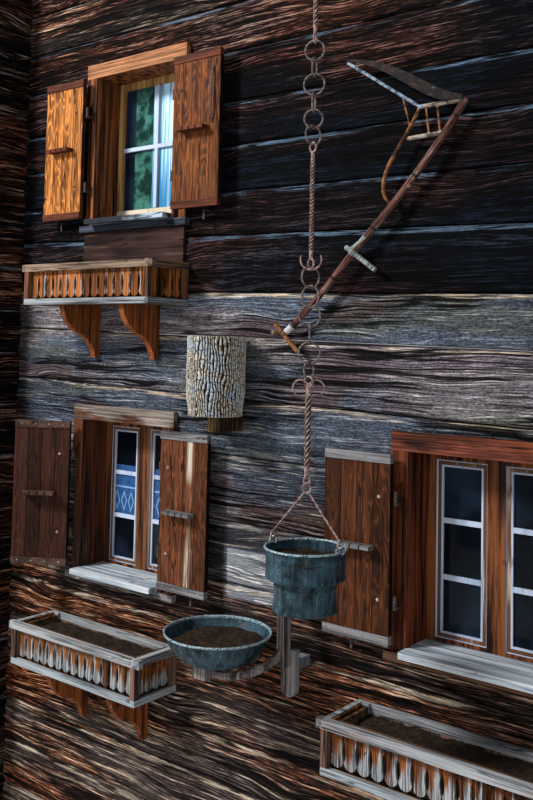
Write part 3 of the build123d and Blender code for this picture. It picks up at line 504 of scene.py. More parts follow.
# Finishes
def log_finish(colours):
    """Hewn log wood: ridges and furrows along the grain, cracks and knots, darkened by the sun and
    darkened further as painted shade on the upper courses, or bleached by rain as values stored on
    each log say; painted highlights run along the ridges and the top edges."""
    f = Finish("hewn_log")
    grain = f.stored("grain", "Vector")
    rise, pale, warm = (f.stored(name) for name in ("rise", "pale", "warm"))
    warp = f.noise(grain, (1.8, 6, 6), 3, 0.5)
    knots = f.cells(grain, (1.35, 3.1, 3.1), shift=(0.4, 0, 0))
    bend = f.point(0, (warp - 0.5) * 0.055 + knots.step(0.42, 0.04) * 0.034, 0)
    bent = f.node("ShaderNodeVectorMath", {"operation": "ADD"}, {0: grain, 1: bend})
    hair = f.noise(bent, (14, 210, 210), 3)
    fine = f.noise(bent, (4.2, 130, 130), 5, 0.75)
    band = f.noise(bent, (0.9, 36, 36), 5, 0.7)
    patch = f.noise(grain, (1.3, 4.5, 4.5), 3, 0.55)
    cloud = f.noise(grain, (0.55, 2.5, 2.5), 2, 0.5, (3, 1, 2))
    line = f.noise(bent, (0.60, 17, 17), 2, 0.5, (0, 5, 0))
    drift = f.noise(bent, (1.1, 9, 9), 3, 0.55, (0, 9, 0))
    crack = abs(line - 0.5).step(0.040, 0.018) * patch.step(0.40, 0.54)
    year = (f.axes(bent)[1] * 430 + drift * 42).sine()
    groove = (year * 0.5 + 0.5 + (fine - 0.5) * 1.2).step(0.34, 0.05) * patch.step(0.30, 0.55)
    ridge = (hair * 0.25 + fine * 0.45 + band * 0.30).step(0.470, 0.555)

    # The dark branch: sun-burnt wood that, on the upper courses, is also painted shade.
    burnt_and_shaded = f.mix(colours.log_dark, colours.log_brown,
                  streaks(patch, cloud, 0.6, 0.44, 0.60) * (0.10 + warm * 0.95))
    # Painted shade: a blue-black tone on the courses that are least brown.
    burnt_and_shaded = f.mix(burnt_and_shaded, (0.006, 0.012, 0.024), cloud.step(0.56, 0.42) * (0.6 - warm).most(0))
    sheen = f.mix(colours.log_blue, (0.62, 0.205, 0.065), warm)
    burnt_and_shaded = f.mix(burnt_and_shaded, sheen, ridge * (0.06 + warm * 0.48) * cloud.step(0.42, 0.60))
    burnt_and_shaded = f.shade(burnt_and_shaded, 0.04 + ridge * 1.20)
    mauve = f.mix((0.030, 0.020, 0.020), (0.260, 0.190, 0.160), ridge)
    burnt_and_shaded = f.mix(burnt_and_shaded, mauve, (warm - 0.6).most(0) * 2.4 * cloud.step(0.60, 0.42))

    grit = f.noise(grain, (60, 150, 150), 4, 0.7)
    bleached = f.mix((0.045, 0.042, 0.050), colours.log_pale, ridge * 0.65 + grit.step(0.42, 0.58) * 0.35)
    greenish = f.noise(grain, (0.9, 5, 5), 2, 0.5, (8, 0, 0)).step(0.54, 0.66) * 0.6
    hue = f.mix((0.66, 0.80, 0.94), (1.0, 0.88, 0.84), cloud.step(0.44, 0.56))
    hue = f.mix(hue, (0.86, 0.90, 0.66), greenish)
    bleached = f.mix(bleached, hue, 1.0, "MULTIPLY")
    stain = f.mix((0.120, 0.045, 0.025), (0.085, 0.050, 0.070), cloud.step(0.42, 0.58))
    bleached = f.mix(bleached, stain, patch.step(0.50, 0.64) * 0.62)
    bleached = f.shade(bleached, 0.62 + cloud.step(0.30, 0.66) * 0.58)
    white = f.mix((0.20, 0.21, 0.23), (0.62, 0.64, 0.66), ridge)
    bleached = f.mix(bleached, white, pale.step(1.15, 1.6))

    wood = f.mix(burnt_and_shaded, bleached, (pale + (patch - 0.5) * 0.9 * pale).step(0.20, 0.78))
    broken = f.noise(grain, (3.5, 60, 60), 3, 0.6, (0, 3, 0)).step(0.46, 0.58)
    # Painted highlight: a thin broken line of blue or cream along each log's top edge.
    lip = f.mix(colours.log_blue, colours.log_cream, (warm * 1.8 - 0.8).most(pale))
    wood = f.mix(wood, lip, rise.step(0.955, 0.985) * broken * 0.75)
    # Cream streaks on the ridges of the brown courses: worn fibres, partly painted highlight.
    cream = streaks(fine, band, 0.5, 0.530, 0.620) * (warm * 1.4 - 0.4).most(0) * 0.90
    wood = f.mix(wood, colours.log_cream, cream)
    wood = f.shade(wood, (1 - crack * 0.94) * (1 - groove * 0.78) * (0.60 + grit * 0.80))
    rings = (knots * 150).sine()
    knot = knots.step(0.075, 0.040)
    wood = f.mix(wood, (0.016, 0.009, 0.008), knot * (0.55 + rings * 0.25))
    height = ridge * 0.7 + band * 0.5 - crack * 1.3 - groove * 0.5 + rings * knot * 0.25
    return f.done(wood, 0.76 + fine * 0.2, height, relief=0.009, strength=0.9, specular=0.06)


def board_finish(name, dark, light, along, contrast=1.0, shade=None):
    """Sawn board: fibres along one axis between two colours, then any change that a shade makes."""
    f = Finish(name)
    where = f.place()
    signals = fibres(f, where, along)
    fine, band, patch, _ = signals
    wood = f.mix(dark, light, streaks(band, fine, 0.55, 0.5 - 0.12 / contrast, 0.5 + 0.10 / contrast))
    if shade:
        wood = shade(f, where, wood, patch)
    return wood_done(f, wood, signals, 0.85, 0.38, (0.58, 0.25), 0.0025)


def casing_finish(window, colours, light, dark, rail, lintel, apron=None):
    """A window's casing: upright fibres on the jambs, level ones on lintel, rail and apron."""
    head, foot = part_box(f"{window}_window_frame")[1][2] - CASING, rail_foot(window)
    f = Finish(f"casing_{window}")
    where = f.place()
    z = f.axes(where)[2]
    on_lintel, on_rail = z > head, z < foot + SILL_RAIL
    signals = between(fibres(f, where, 2), fibres(f, where, 0), on_lintel + on_rail)
    fine, band, patch, _ = signals
    wood = f.mix(dark, light, streaks(band, fine, 0.6, 0.41, 0.58))
    wood = f.mix(wood, f.mix(wood, colours.grey_wood, 0.4), streaks(patch, fine, 0.5, 0.58, 0.70) * 0.5)
    worn = streaks(fine, band, 0.6, 0.42, 0.58)
    wood = f.mix(wood, f.mix(toned(rail, 0.3), rail, worn), on_rail)
    wood = f.mix(wood, f.mix(toned(lintel, 0.3), lintel, worn), on_lintel * patch.step(0.62, 0.46))
    if apron:
        board = f.mix(toned(apron, 0.16), apron, streaks(band, patch, 0.5, 0.42, 0.60))
        board = f.mix(board, (0.16, 0.12, 0.10), streaks(fine, band, 0.5, 0.56, 0.68) * 0.6)
        wood = f.mix(wood, board, z < foot)
    return wood_done(f, wood, signals, 0.80, 0.38, (0.60, 0.20), 0.003)


def sash_finish(window, colours, light, dark):
    """A sash: oiled wood, with worn pale paint on the bars and on the edges of the casements; the pale
    edge lines are partly painted highlight.
    """
    low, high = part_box(f"{window}_sash")
    f = Finish(f"sash_{window}")
    where = f.place()
    x, _, z = f.axes(where)
    signals = fibres(f, where, 2)
    fine, band, patch, _ = signals
    wood = f.mix(dark, light, streaks(band, fine, 0.6, 0.42, 0.58))
    reach, half = abs(x - (low[0] + high[0]) / 2), (high[0] - low[0]) / 2 - SASH_BORDER
    head = high[2] - SASH_BORDER
    if window == "upper":
        pale = (reach < half - BAR_INSET) * (z < head - BAR_INSET) * (z > low[2] + UPPER_SASH_RAIL[1])
        wood = f.mix(wood, (0.56, 0.50, 0.37), (z < low[2] + UPPER_SASH_RAIL[0]) * 0.85)
    else:
        inset = (reach - CENTRE_POST / 2).least(half - reach)
        inset = inset.least(z - (low[2] + SASH_FOOT - STILE)).least(head - z)
        pale = (inset > 0) * ((inset < PAINT_EDGE) + (inset > STILE - PAINT_BEAD))
        inner = f.mix((0.10, 0.045, 0.022), (0.40, 0.33, 0.24), streaks(patch, fine, 0.5, 0.50, 0.66))
        wood = f.mix(wood, inner, inset > 0)
    # Pale bars and edge lines: worn paint, the edge lines partly painted highlight.
    paint = f.mix(colours.white_bar, (0.16, 0.22, 0.33), streaks(fine, patch, 0.5, 0.46, 0.60) * 0.75)
    wood = f.mix(wood, paint, pale.step(0.2, 0.8))
    return wood_done(f, wood, signals, 0.50, 0.28, (0.50, 0.20), 0.0015, (0.6, 0.4), 0.6, split=False)


def glass_finish():
    """Old panes in front of dark rooms, with a bright curtain in folds and blue lace behind some, a painted
    reflection of green on the upper one and a faint painted reflection of sky.
    """
    f = Finish("old_glass")
    where = f.place()
    x, _, z = f.axes(where)
    right, upper, left = (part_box(f"{window}_sash") for window in ("lower_right", "upper", "lower_left"))
    # Painted reflection: a faint bluish sky on the dark panes.
    sky_reflection = f.noise(where, 2.2, 3, 0.5).step(0.44, 0.66)
    room = f.mix((0.0020, 0.0030, 0.0050), (0.010, 0.018, 0.032), sky_reflection)
    speck = f.noise(where, 260, 2, 0.5).step(0.66, 0.74)
    room = f.mix(room, (0.10, 0.18, 0.26), speck * (x > (right[0][0] + right[1][0]) / 2) * 0.5)

    middle = (upper[0][0] + upper[1][0]) / 2
    in_upper = z > upper[0][2]
    sway = f.noise(where, (5, 1, 0.5), 3)
    folds = f.noise(where, (52, 1, 1.2), 2, 0.5, (2, 0, 0)) * 0.7 + sway * 0.3
    cloth = f.mix((0.030, 0.17, 0.33), (0.50, 0.74, 0.90), folds.step(0.40, 0.60))
    # Painted reflection: a green tone on the upper sash's left pane.
    green = f.mix((0.006, 0.022, 0.016), (0.045, 0.15, 0.12), f.noise(where, 9).step(0.42, 0.62))
    seen = f.mix(room, green, in_upper * (x < middle) * (x > middle - REFLECTION_REACH) * 0.9)
    seen = f.mix(seen, cloth, in_upper * (x > middle - CURTAIN_REACH))

    rise = (z - left[0][2] - LACE_FOOT) * (1 / LACE_HEIGHT)
    across = (x - left[0][0]).fold(LACE_PITCH)
    diamond = abs(abs(across - LACE_PITCH / 2) + abs(rise - 0.35) * 0.10 - 0.022).step(0.006, 0.001)
    hem = abs(rise - 0.70).step(0.030, 0.012)
    weave = f.cells(where, (90, 90, 60), "DISTANCE_TO_EDGE").step(0.04, 0.24)
    lace = f.mix((0.012, 0.045, 0.13), (0.035, 0.10, 0.24), weave)
    lace = f.mix(lace, (0.16, 0.28, 0.46), diamond.most(hem))
    seen = f.mix(seen, lace, (x > left[0][0]) * (x < left[1][0]) * (rise > 0) * (rise < 1.25) * 0.95)
    return f.done(seen, 0.10, specular=0.05)


def leaf_frame(shutter, swing):
    """A leaf's hinge point, its direction away from the hinge and its outward direction."""
    hinge = next(j for j in frame["joints"] if j["name"] == f"{shutter}_hinge")
    side = -1 if "left_shutter" in shutter else 1
    cos, sin = np.cos(np.radians(swing)), np.sin(np.radians(swing))
    origin = np.array([hinge["pos_m"][0], hinge["pos_m"][1], 0])
    return origin, np.array([cos, sin, 0]) * side, np.array([sin, -cos, 0])


def body_of(node):
    """The body that a node belongs to."""
    return next(body for body, names in frame["record"]["behaviour"]["bodies"].items() if node in names)


def shutter_finish(shutter, light, dark, batten, swing, pitch, worn):
    """A boarded leaf: a tone for each board, upright fibres with flame figure and knots, bleached
    streaks, and battens and ledge of their own."""
    low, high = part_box(shutter)
    f = Finish(shutter.replace("shutter", "boards"))
    where = f.place()
    x, y, z = f.axes(where)
    origin, *directions = leaf_frame(shutter, swing)
    across, out = ((x - origin[0]) * way[0] + (y - origin[1]) * way[1] for way in directions)
    bars = (z < low[2] + BATTEN) + (z > high[2] - BATTEN) + (out > BATTEN_FACE + 0.0015)
    bars = bars.step(0.2, 0.8)
    signals = between(fibres(f, where, 2), fibres(f, where, 0), bars)
    fine, band, patch, _ = signals
    column = (across - HINGE_GAP) / pitch
    board = column.floor() + 7.3 * sum(map(ord, shutter))
    joint = abs(column - column.floor() - 0.5).step(0.468, 0.488) * (1 - bars)
    figure = (f.noise(f.point(across * 9, board, z * 1.6), 1, 3, 0.5) * 90).sine()
    knot = f.cells(f.point(across * 12, board * 3, z * 4.2), 1).step(0.16, 0.07)
    wood = f.mix(dark, light, (band * 0.40 + fine * 0.38 + figure * 0.035 + 0.11).step(0.38, 0.58))
    wood = f.mix(wood, toned(light, 1.8), figure.step(0.72, 0.96) * fine.step(0.40, 0.56) * 0.6)
    wood = f.shade(wood, (0.62 + f.chance(board) * 0.70) * (1 - joint * 0.85))
    wood = f.mix(wood, toned(light, 2.2), streaks(fine, band, 0.5, 0.58, 0.68) * 0.5)
    wood = f.mix(wood, toned(dark, 0.25), knot * 0.85)
    if worn:
        place, width = worn
        strip = abs(across - place).step(width, width * 0.4) * streaks(band, fine, 0.5, 0.42, 0.56)
        wood = f.mix(wood, (0.46, 0.40, 0.32), strip * patch.step(0.28, 0.46) * 0.9)
    wood = f.mix(wood, f.mix(batten, toned(batten, 0.30), streaks(band, fine, 0.5, 0.58, 0.42)), bars)
    return wood_done(f, wood, signals, 0.85, 0.40, (0.60, 0.22), 0.003, (0.5, 0.6), 0.75)


def box_finish(window, rail_light, rail_dark):
    """A flower box: bleached rails along their length, browner posts and a trough inside darkened as
    painted shade.
    """
    low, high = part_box(f"{window}_flower_box")
    f = Finish(f"rails_{window}")
    where = f.place()
    x, y, z = f.axes(where)
    sides = (x < low[0] + BOX_ENDS[0]) + (x > high[0] - BOX_ENDS[1])
    posts = (z < high[2] - BOX_TOP_RAIL) * (z > low[2] + BOX_RAIL)
    inside = (x - low[0] - BOX_WALL).least(high[0] - BOX_WALL - x)
    inside = inside.least(y - low[1] - BOX_RAIL).least(high[1] - BOX_RAIL - y)
    lip, drop = (high[2] - depth for depth in TROUGH_LIP)
    trough = (inside > 0).most(z < drop) * (inside > -TROUGH_SIDE) * (z < lip)
    rails = between(fibres(f, where, 0), fibres(f, where, 1), sides)
    signals = between(rails, fibres(f, where, 2), posts)
    fine, band, patch, _ = signals
    rail = f.mix(rail_dark, rail_light, streaks(band, fine, 0.55, 0.39, 0.58))
    rail = f.mix(rail, (0.22, 0.105, 0.045), streaks(patch, fine, 0.7, 0.56, 0.70) * 0.6)
    bluish = f.mix((0.036, 0.042, 0.050), (0.250, 0.285, 0.310), streaks(band, fine, 0.5, 0.40, 0.58))
    rail = f.mix(rail, bluish, (z < low[2] + BOX_RAIL) * 0.8)
    brown = f.mix((0.014, 0.006, 0.004), (0.15, 0.055, 0.020), streaks(band, fine, 0.55, 0.42, 0.58))
    wood = f.mix(rail, brown, posts * 0.85)
    # Painted shade: the trough inside is dark, so the openings between the slats read dark.
    wood = f.mix(wood, f.mix((0.020, 0.011, 0.007), (0.105, 0.055, 0.028), band.step(0.40, 0.62)), trough)
    return wood_done(f, wood, signals, 0.80, 0.34, (0.68, 0.20), 0.0025, (0.6, 0.5), 0.75)


def slat_finish(window, light, dark, grey_share):
    """Fretted slats: orange-brown streaked dark, pale along the sawn edges as wear and partly painted
    highlight, bleached in streaks towards the tongues, each in its own tone."""
    low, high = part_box(f"{window}_box_slats")
    f = Finish(f"slats_{window}")
    where = f.place()
    x, y, z = f.axes(where)
    signals = fibres(f, where, 2, 1.5)
    fine, band, patch, _ = signals
    column = (x - low[0]) / SLAT_PITCH[0]
    number = column.floor() + ((y - low[1]) / SLAT_PITCH[1]).floor() * 3.7 + 11 * low[2]
    tone = f.chance(number)
    foot = (z - low[2]) / (high[2] - low[2])
    wood = f.mix(dark, light, streaks(band, fine, 0.5, 0.40, 0.57))
    wood = f.shade(wood, 0.30 + tone * 1.05)
    wood = f.mix(wood, toned(dark, 0.25), streaks(band, patch, 0.6, 0.52, 0.62) * 0.85)
    waist = 0.47 - (1 - abs(foot - 0.45) * 2.0).most(0) * 0.15
    # Pale rims along the sawn edges: wear, partly painted highlight.
    rim = (abs(column - column.floor() - 0.5) - waist).step(-0.085, -0.035)
    rim = rim * (foot < 0.90) * (y < low[1] + 0.03)
    share = foot.step(0.80, 0.0) * grey_share * (0.4 + tone * 0.9)
    worn = (fine * 0.6 + band * 0.4 - 0.5) * 2.8 + share * 1.2 + rim * (0.34 + tone * 0.44)
    grey = f.mix((0.060, 0.072, 0.088), (0.320, 0.330, 0.330), fine.step(0.43, 0.58))
    wood = f.mix(wood, grey, worn.step(0.50, 1.00))
    return wood_done(f, wood, signals, 0.80, 0.38, (0.62, 0.20), 0.002, (0.6, 0.4))


def bark_finish(colours):
    """Bark: pale plates between dark furrows that are stored on the mesh, the furrows' near-black partly
    painted shade, and a sawn rim.
    """
    f = Finish("bark")
    where = f.place()
    furrow, bare = f.stored("furrow"), f.stored("bare")
    fine = f.noise(where, (110, 110, 40), 5, 0.7)
    speck = f.noise(where, 75, 5, 0.7)
    plate = f.mix((0.17, 0.145, 0.115), colours.bark, streaks(fine, speck, 0.5, 0.42, 0.58))
    plate = f.mix(plate, (0.30, 0.38, 0.46), f.noise(where, 8, 3).step(0.46, 0.60) * 0.60)
    # Near-black furrows: dark bark, partly painted shade.
    wood = f.mix(plate, (0.012, 0.010, 0.009), (furrow + (speck - 0.5) * 0.7).step(0.30, 0.70))
    wood = f.mix(wood, f.mix((0.20, 0.14, 0.085), (0.42, 0.32, 0.21), speck), bare)
    return f.done(wood, 0.85, fine * 0.5 + speck * 0.4 - furrow * 0.5, relief=0.005, strength=0.9)


def zinc_finish(name, zinc, shine, pale_rim):
    """Old zinc: clouded patina, pale runs and specks, dark blotches, and a paler rim."""
    f = Finish(name)
    where = f.place()
    cloud = f.noise(where, 10, 6, 0.7)
    runs = f.noise(where, (44, 44, 4), 4, 0.65)
    speck = f.noise(where, 130, 4, 0.65)
    sheet = f.mix(toned(zinc, 0.22), zinc, streaks(cloud, runs, 0.6, 0.38, 0.60))
    sheet = f.mix(sheet, (0.20, 0.29, 0.33), streaks(speck, runs, 0.6, 0.55, 0.66) * 0.5)
    sheet = f.mix(sheet, (0.060, 0.045, 0.032), f.noise(where, 17).step(0.58, 0.68) * 0.6)
    sheet = f.mix(sheet, (0.36, 0.46, 0.50), (f.axes(where)[2] > pale_rim) * speck.step(0.35, 0.6) * 0.8)
    sheet = f.shade(sheet, 0.72 + speck * 0.56)
    rough = shine + cloud * 0.25 + speck * 0.1
    return f.done(sheet, rough, cloud * 0.5 + speck * 0.3, relief=0.002, strength=0.6, metallic=0.35)


def iron_finish(name, worn, rust):
    """Forged iron: hammered, dark, with rust in patches, and dark rust and painted shade in the grooves
    stored on twisted bars.
    """
    f = Finish(name)
    where = f.place()
    hammer = f.noise(where, 90, 3, 0.5)
    patch = f.noise(where, 26, 5, 0.7)
    metal = f.mix(toned(worn, 0.35), worn, hammer.step(0.40, 0.60))
    metal = f.mix(metal, rust, patch.step(0.48, 0.64) * 0.8)
    # Dark grooves on the twisted bars: rust, partly painted shade.
    metal = f.mix(metal, toned(rust, 0.10), f.stored("groove").step(0.25, 0.75) * 0.92)
    return f.done(metal, 0.50 + patch * 0.3, hammer, relief=0.0012, strength=0.6, metallic=0.2)


def soil_finish(colours):
    """Potting soil: dark crumbs with paler fibres and a few pale grains."""
    f = Finish("potting_soil")
    where = f.place()
    crumb = f.noise(where, 130, 6, 0.75)
    lump = f.noise(where, 34)
    grit = f.cells(where, 210).step(0.12, 0.06)
    earth = f.mix((0.009, 0.006, 0.004), colours.soil, streaks(crumb, lump, 0.6, 0.40, 0.62))
    earth = f.mix(earth, (0.20, 0.16, 0.12), grit * lump.step(0.50, 0.62) * 0.8)
    return f.done(earth, 0.95, crumb * 0.7 + lump * 0.6, relief=0.008, strength=0.9, specular=0.05)


def blade_finish():
    """Scythe blade: brown-black steel, with paler bluish streaks along its scratches."""
    f = Finish("blade_steel")
    where = f.place()
    scratch = f.noise(where, (30, 30, 160), turn=(0, 0.47, 0))
    cloud = f.noise(where, 12)
    steel = f.mix((0.006, 0.005, 0.005), (0.024, 0.017, 0.016), streaks(cloud, scratch, 0.6, 0.42, 0.62))
    steel = f.mix(steel, (0.060, 0.024, 0.012), f.noise(where, 22).step(0.56, 0.68) * 0.6)
    steel = f.mix(steel, (0.20, 0.25, 0.32), scratch.step(0.64, 0.74) * 0.5)
    return f.done(steel, 0.55 + cloud * 0.3, scratch, relief=0.0008, strength=0.4, metallic=0.2)


def pole_finish():
    """The snath: purple-brown ash with dark bands, a pale greenish side handle and a pale ferrule."""
    f = Finish("pole_wood")
    where = f.place()
    x, y, z = f.axes(where)
    along = x * POLE_RUN[0] + z * POLE_RUN[1]
    aside = x * POLE_RUN[1] - z * POLE_RUN[0]
    fine = f.noise(f.point(along * 6, y * 120, aside * 120), 1, 5, 0.7)
    cloud = f.noise(where, 9, 3)
    wood = f.mix((0.010, 0.005, 0.005), (0.120, 0.050, 0.036), fine.step(0.40, 0.58))
    wood = f.mix(wood, (0.30, 0.235, 0.220), streaks(fine, cloud, 0.6, 0.54, 0.64) * 0.6)
    wood = f.mix(wood, (0.010, 0.007, 0.007), (along + cloud * 0.02).fold(0.16).step(0.010, 0.004) * 0.9)
    grip = abs(along - aside * GRIP_SLOPE - SIDE_GRIP) < GRIP_HALF
    strap = abs(aside - STRAP_FOOT - (along - STRAP_RUN[0]) * STRAP_SLOPE) < STRAP_HALF
    strap = strap * (along > STRAP_RUN[0]) * (along < STRAP_RUN[1])
    pale = f.mix((0.030, 0.040, 0.038), (0.250, 0.285, 0.270), fine.step(0.38, 0.60))
    wood = f.mix(wood, pale, (grip + strap).step(0.2, 0.8))
    collar = f.mix((0.16, 0.17, 0.19), (0.56, 0.58, 0.60), fine)
    wood = f.mix(wood, collar, abs(along - FERRULE) < FERRULE_HALF)
    foot = f.mix((0.040, 0.015, 0.007), (0.200, 0.085, 0.036), fine.step(0.38, 0.6))
    wood = f.mix(wood, foot, along < FERRULE - FERRULE_HALF)
    return f.done(wood, 0.55 + fine * 0.25, fine, relief=0.002, strength=0.7)


def cradle_finish():
    """The cradle: an orange-brown bow, pale grey crossbars and a finger in a bluish grey painted highlight."""
    f = Finish("bow_wood")
    where = f.place()
    x, _, z = f.axes(where)
    fine = f.noise(where, (26, 60, 60))
    bow = f.mix((0.030, 0.012, 0.007), (0.220, 0.092, 0.036),
                streaks(fine, f.noise(where, 14, 3), 0.5, 0.42, 0.60))
    bar = f.mix((0.050, 0.036, 0.028), (0.290, 0.240, 0.195), fine.step(0.38, 0.60))
    # Painted highlight: the finger's bluish grey tone.
    finger = f.mix((0.035, 0.045, 0.060), (0.200, 0.260, 0.330), fine.step(0.38, 0.60))
    level = (abs(z - CROSSBARS[0]) < CRADLE_BAR) + (abs(z - CROSSBARS[1]) < CRADLE_BAR)
    wood = f.mix(bow, bar, (x > CROSSBAR_START) * level)
    off_finger = abs(z + (x - FINGER_TIP[0]) * FINGER_SLOPE - FINGER_TIP[1])
    wood = f.mix(wood, finger, (off_finger < CRADLE_BAR) * (z > FINGER_FOOT))
    return f.done(wood, 0.6 + fine * 0.2, fine, relief=0.0015, strength=0.6)


def bracket_finish():
    """What carries the planters: a dark, yellow-streaked bracket above, grey driftwood below."""
    f = Finish("driftwood")
    where = f.place()
    x, _, z = f.axes(where)
    signals = fibres(f, where, 2)
    fine, band, patch, _ = signals
    grey = f.mix((0.026, 0.020, 0.018), (0.190, 0.170, 0.160), streaks(band, fine, 0.5, 0.42, 0.60))
    grey = f.mix(grey, (0.115, 0.160, 0.200), patch.step(0.48, 0.60) * 0.5 * (x > 0.38))
    top = f.mix((0.016, 0.010, 0.006), (0.200, 0.120, 0.045), streaks(patch, fine, 0.6, 0.50, 0.64))
    return wood_done(f, f.mix(grey, top, z > 2.2), signals, 0.85, 0.40, (0.70, 0.20), 0.003, strength=0.75)


# Logs
def log_outline(radius, front=20, level=2, back=5, corner=4):
    """The rounded section of a hewn log, starting at its lower front: per point its side of the
    wall, its share of the height, its offset from the inner rectangle and how much it may be hewn.
    """
    parts = []

    def run(count, *columns):
        parts.append([np.broadcast_to(column, count) for column in columns])

    def bend(side, share, start, hewn):
        turn = np.radians(np.linspace(start, start - 90, corner + 2)[1:-1])
        run(corner, side, share, np.cos(turn), np.sin(turn), hewn)

    across = np.linspace(-0.5, 0.5, level)
    run(front, -1, (np.arange(front) + 0.5) / front, -1, 0, 1)
    bend(-1, 1, 180, 0.6)
    run(level, across, 1, 0, 1, 0)
    bend(1, 1, 90, 0.4)
    run(back, 1, 1 - (np.arange(back) + 0.5) / back, 1, 0, 0.6)
    bend(1, 0, 0, 0.4)
    run(level, -across, 0, 0, -1, 0)
    bend(-1, 0, -90, 0.6)
    side, share, out, up, hewn = (np.concatenate(column) for column in zip(*parts))
    return side, share, out * radius, up * radius, hewn


def log_rings(along, low, high, middle, axis, seed, sizes):
    """The sections of one log. A section is a rounded rectangle from low to high; its face sinks
    inwards by slow noise along the log and faster noise across it, as an axe leaves it."""
    radius = sizes.log_rounding
    side, share, out, up, hewn = log_outline(radius)
    low, high = low[:, None], high[:, None]
    length_along = along[:, None] * np.ones(len(side))
    shrink = np.clip((high - low) / (4 * radius), 0.05, 1)
    flat = low + radius * shrink + share * (high - low - 2 * radius * shrink)
    quick = np.stack([length_along * 5.0, flat * 38.0], -1)
    slow = np.stack([length_along * 1.3, flat * 9.0], -1)
    hollow = 0.5 + 0.3 * ripple(quick, seed, 0.5, 3.0) + 0.2 * ripple(slow, seed + 1, 0.6, 2.0)
    along_share = np.stack([length_along * 6.0, share * 2.0 * np.ones_like(length_along)], -1)
    edge = dips(along_share, seed + 2, 0.5, 4.0)
    bulge = (1 - 4 * (share - 0.5) ** 2) * LOG_BULGE
    sink = np.clip(hollow, 0, 1) * sizes.log_hollow * hewn + LOG_BULGE - bulge
    level = np.sign(up) * (np.abs(up) > 0.3 * radius)
    across = side * (HALF_WALL - radius) + out - np.sign(out) * sink * (np.abs(out) > 0.2 * radius)
    rise = flat + up * shrink - level * (LOG_SEAM[0] + LOG_SEAM[1] * edge)
    plan = [length_along, across] if axis == 0 else [middle + across, length_along]
    rings = np.stack([*plan, rise], -1)
    offset = np.random.default_rng(seed).uniform(-40, 40, 2)
    grain = np.stack([length_along + offset[0], rise, across + offset[1]], -1)
    return rings, grain, np.clip(share + up / radius * 0.06, 0, 1) * np.ones_like(length_along)


def breakpoints(start, end, step, marks, apart=0.0001, clear=0.001):
    """Stations from start to end, with a pair of stations at each mark so that a step there is sharp."""
    count = max(2, int(round((end - start) / step)))
    pairs = [m + k for m in marks if start + clear < m < end - clear for k in (-apart, apart)]
    return np.unique(np.concatenate([np.linspace(start, end, count), pairs]))


def log_ends():
    """Heights of the underside and top of each course at the wall's left and right end."""
    low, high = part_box("base_logs")
    points = np.concatenate([node_points(name) for name in FRONT_LOGS])
    ends = []
    for x in (low[0], high[0]):
        rises = np.unique(np.round(points[np.abs(points[:, 0] - x) < 1e-4][:, 2], 5))
        ends.append(rises.reshape(-1, 4)[:, [0, 3]])
    return low[0], high[0], *ends


def window_cuts():
    """The rectangle (left, right, bottom, top) that each window takes out of the wall."""
    inset = CASING + SILL_RAIL_OVERHANG - LINING
    for window in WINDOWS:
        low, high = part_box(f"{window}_window_frame")
        yield (low[0] + inset - LOG_GAP, high[0] - inset + LOG_GAP,
               rail_foot(window) + SILL_RAIL - LINING - LOG_GAP, high[2] - CASING + LINING + LOG_GAP)


def front_log_parts(course, ends, cuts, sizes, touch=0.010, lap=0.045):
    """The stretches of one course between the windows, with its height at each station. A window
    that reaches into a course by less than touch leaves it whole; one that stays further than lap
    from its top or underside dips into it instead of parting it."""
    left, right, at_left, at_right = ends

    def heights(along, row):
        share = (along - left) / (right - left)
        return at_left[course, row] + share * (at_right[course, row] - at_left[course, row])

    gaps, hollows = [], []
    for x0, x1, z0, z1 in cuts:
        low, high = heights(np.array([x0, x1]), 0).max(), heights(np.array([x0, x1]), 1).min()
        if z1 < low + touch or z0 > high - touch:
            continue
        if z0 < low + lap and z1 > high - lap:
            gaps.append((x0, x1))
        else:
            hollows.append((x0, x1, z0, z1))
    edges = [left] + sorted(x for gap in gaps for x in gap) + [right]
    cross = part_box("cross_wall_logs")
    notch = (cross[0][0] - LOG_GAP, cross[1][0] + LOG_GAP)
    middle = (notch[0] + notch[1]) / 2
    quarter = (heights(middle, 1) - heights(middle, 0)) / 4
    for start, end in zip(edges[::2], edges[1::2]):
        marks = [*notch, *(x for hollow in hollows for x in hollow[:2])]
        along = breakpoints(start, end, sizes.log_station, marks)
        at_notch = (along > notch[0]) & (along < notch[1])
        low = np.where(at_notch, heights(along, 0) + quarter, heights(along, 0))
        high = np.where(at_notch, heights(along, 1) - quarter, heights(along, 1))
        for x0, x1, z0, z1 in hollows:
            inside = (along > x0) & (along < x1)
            lifted = z0 < low + lap
            low, high = np.where(inside & lifted, z1, low), np.where(inside & ~lifted, z0, high)
        yield along, low, high


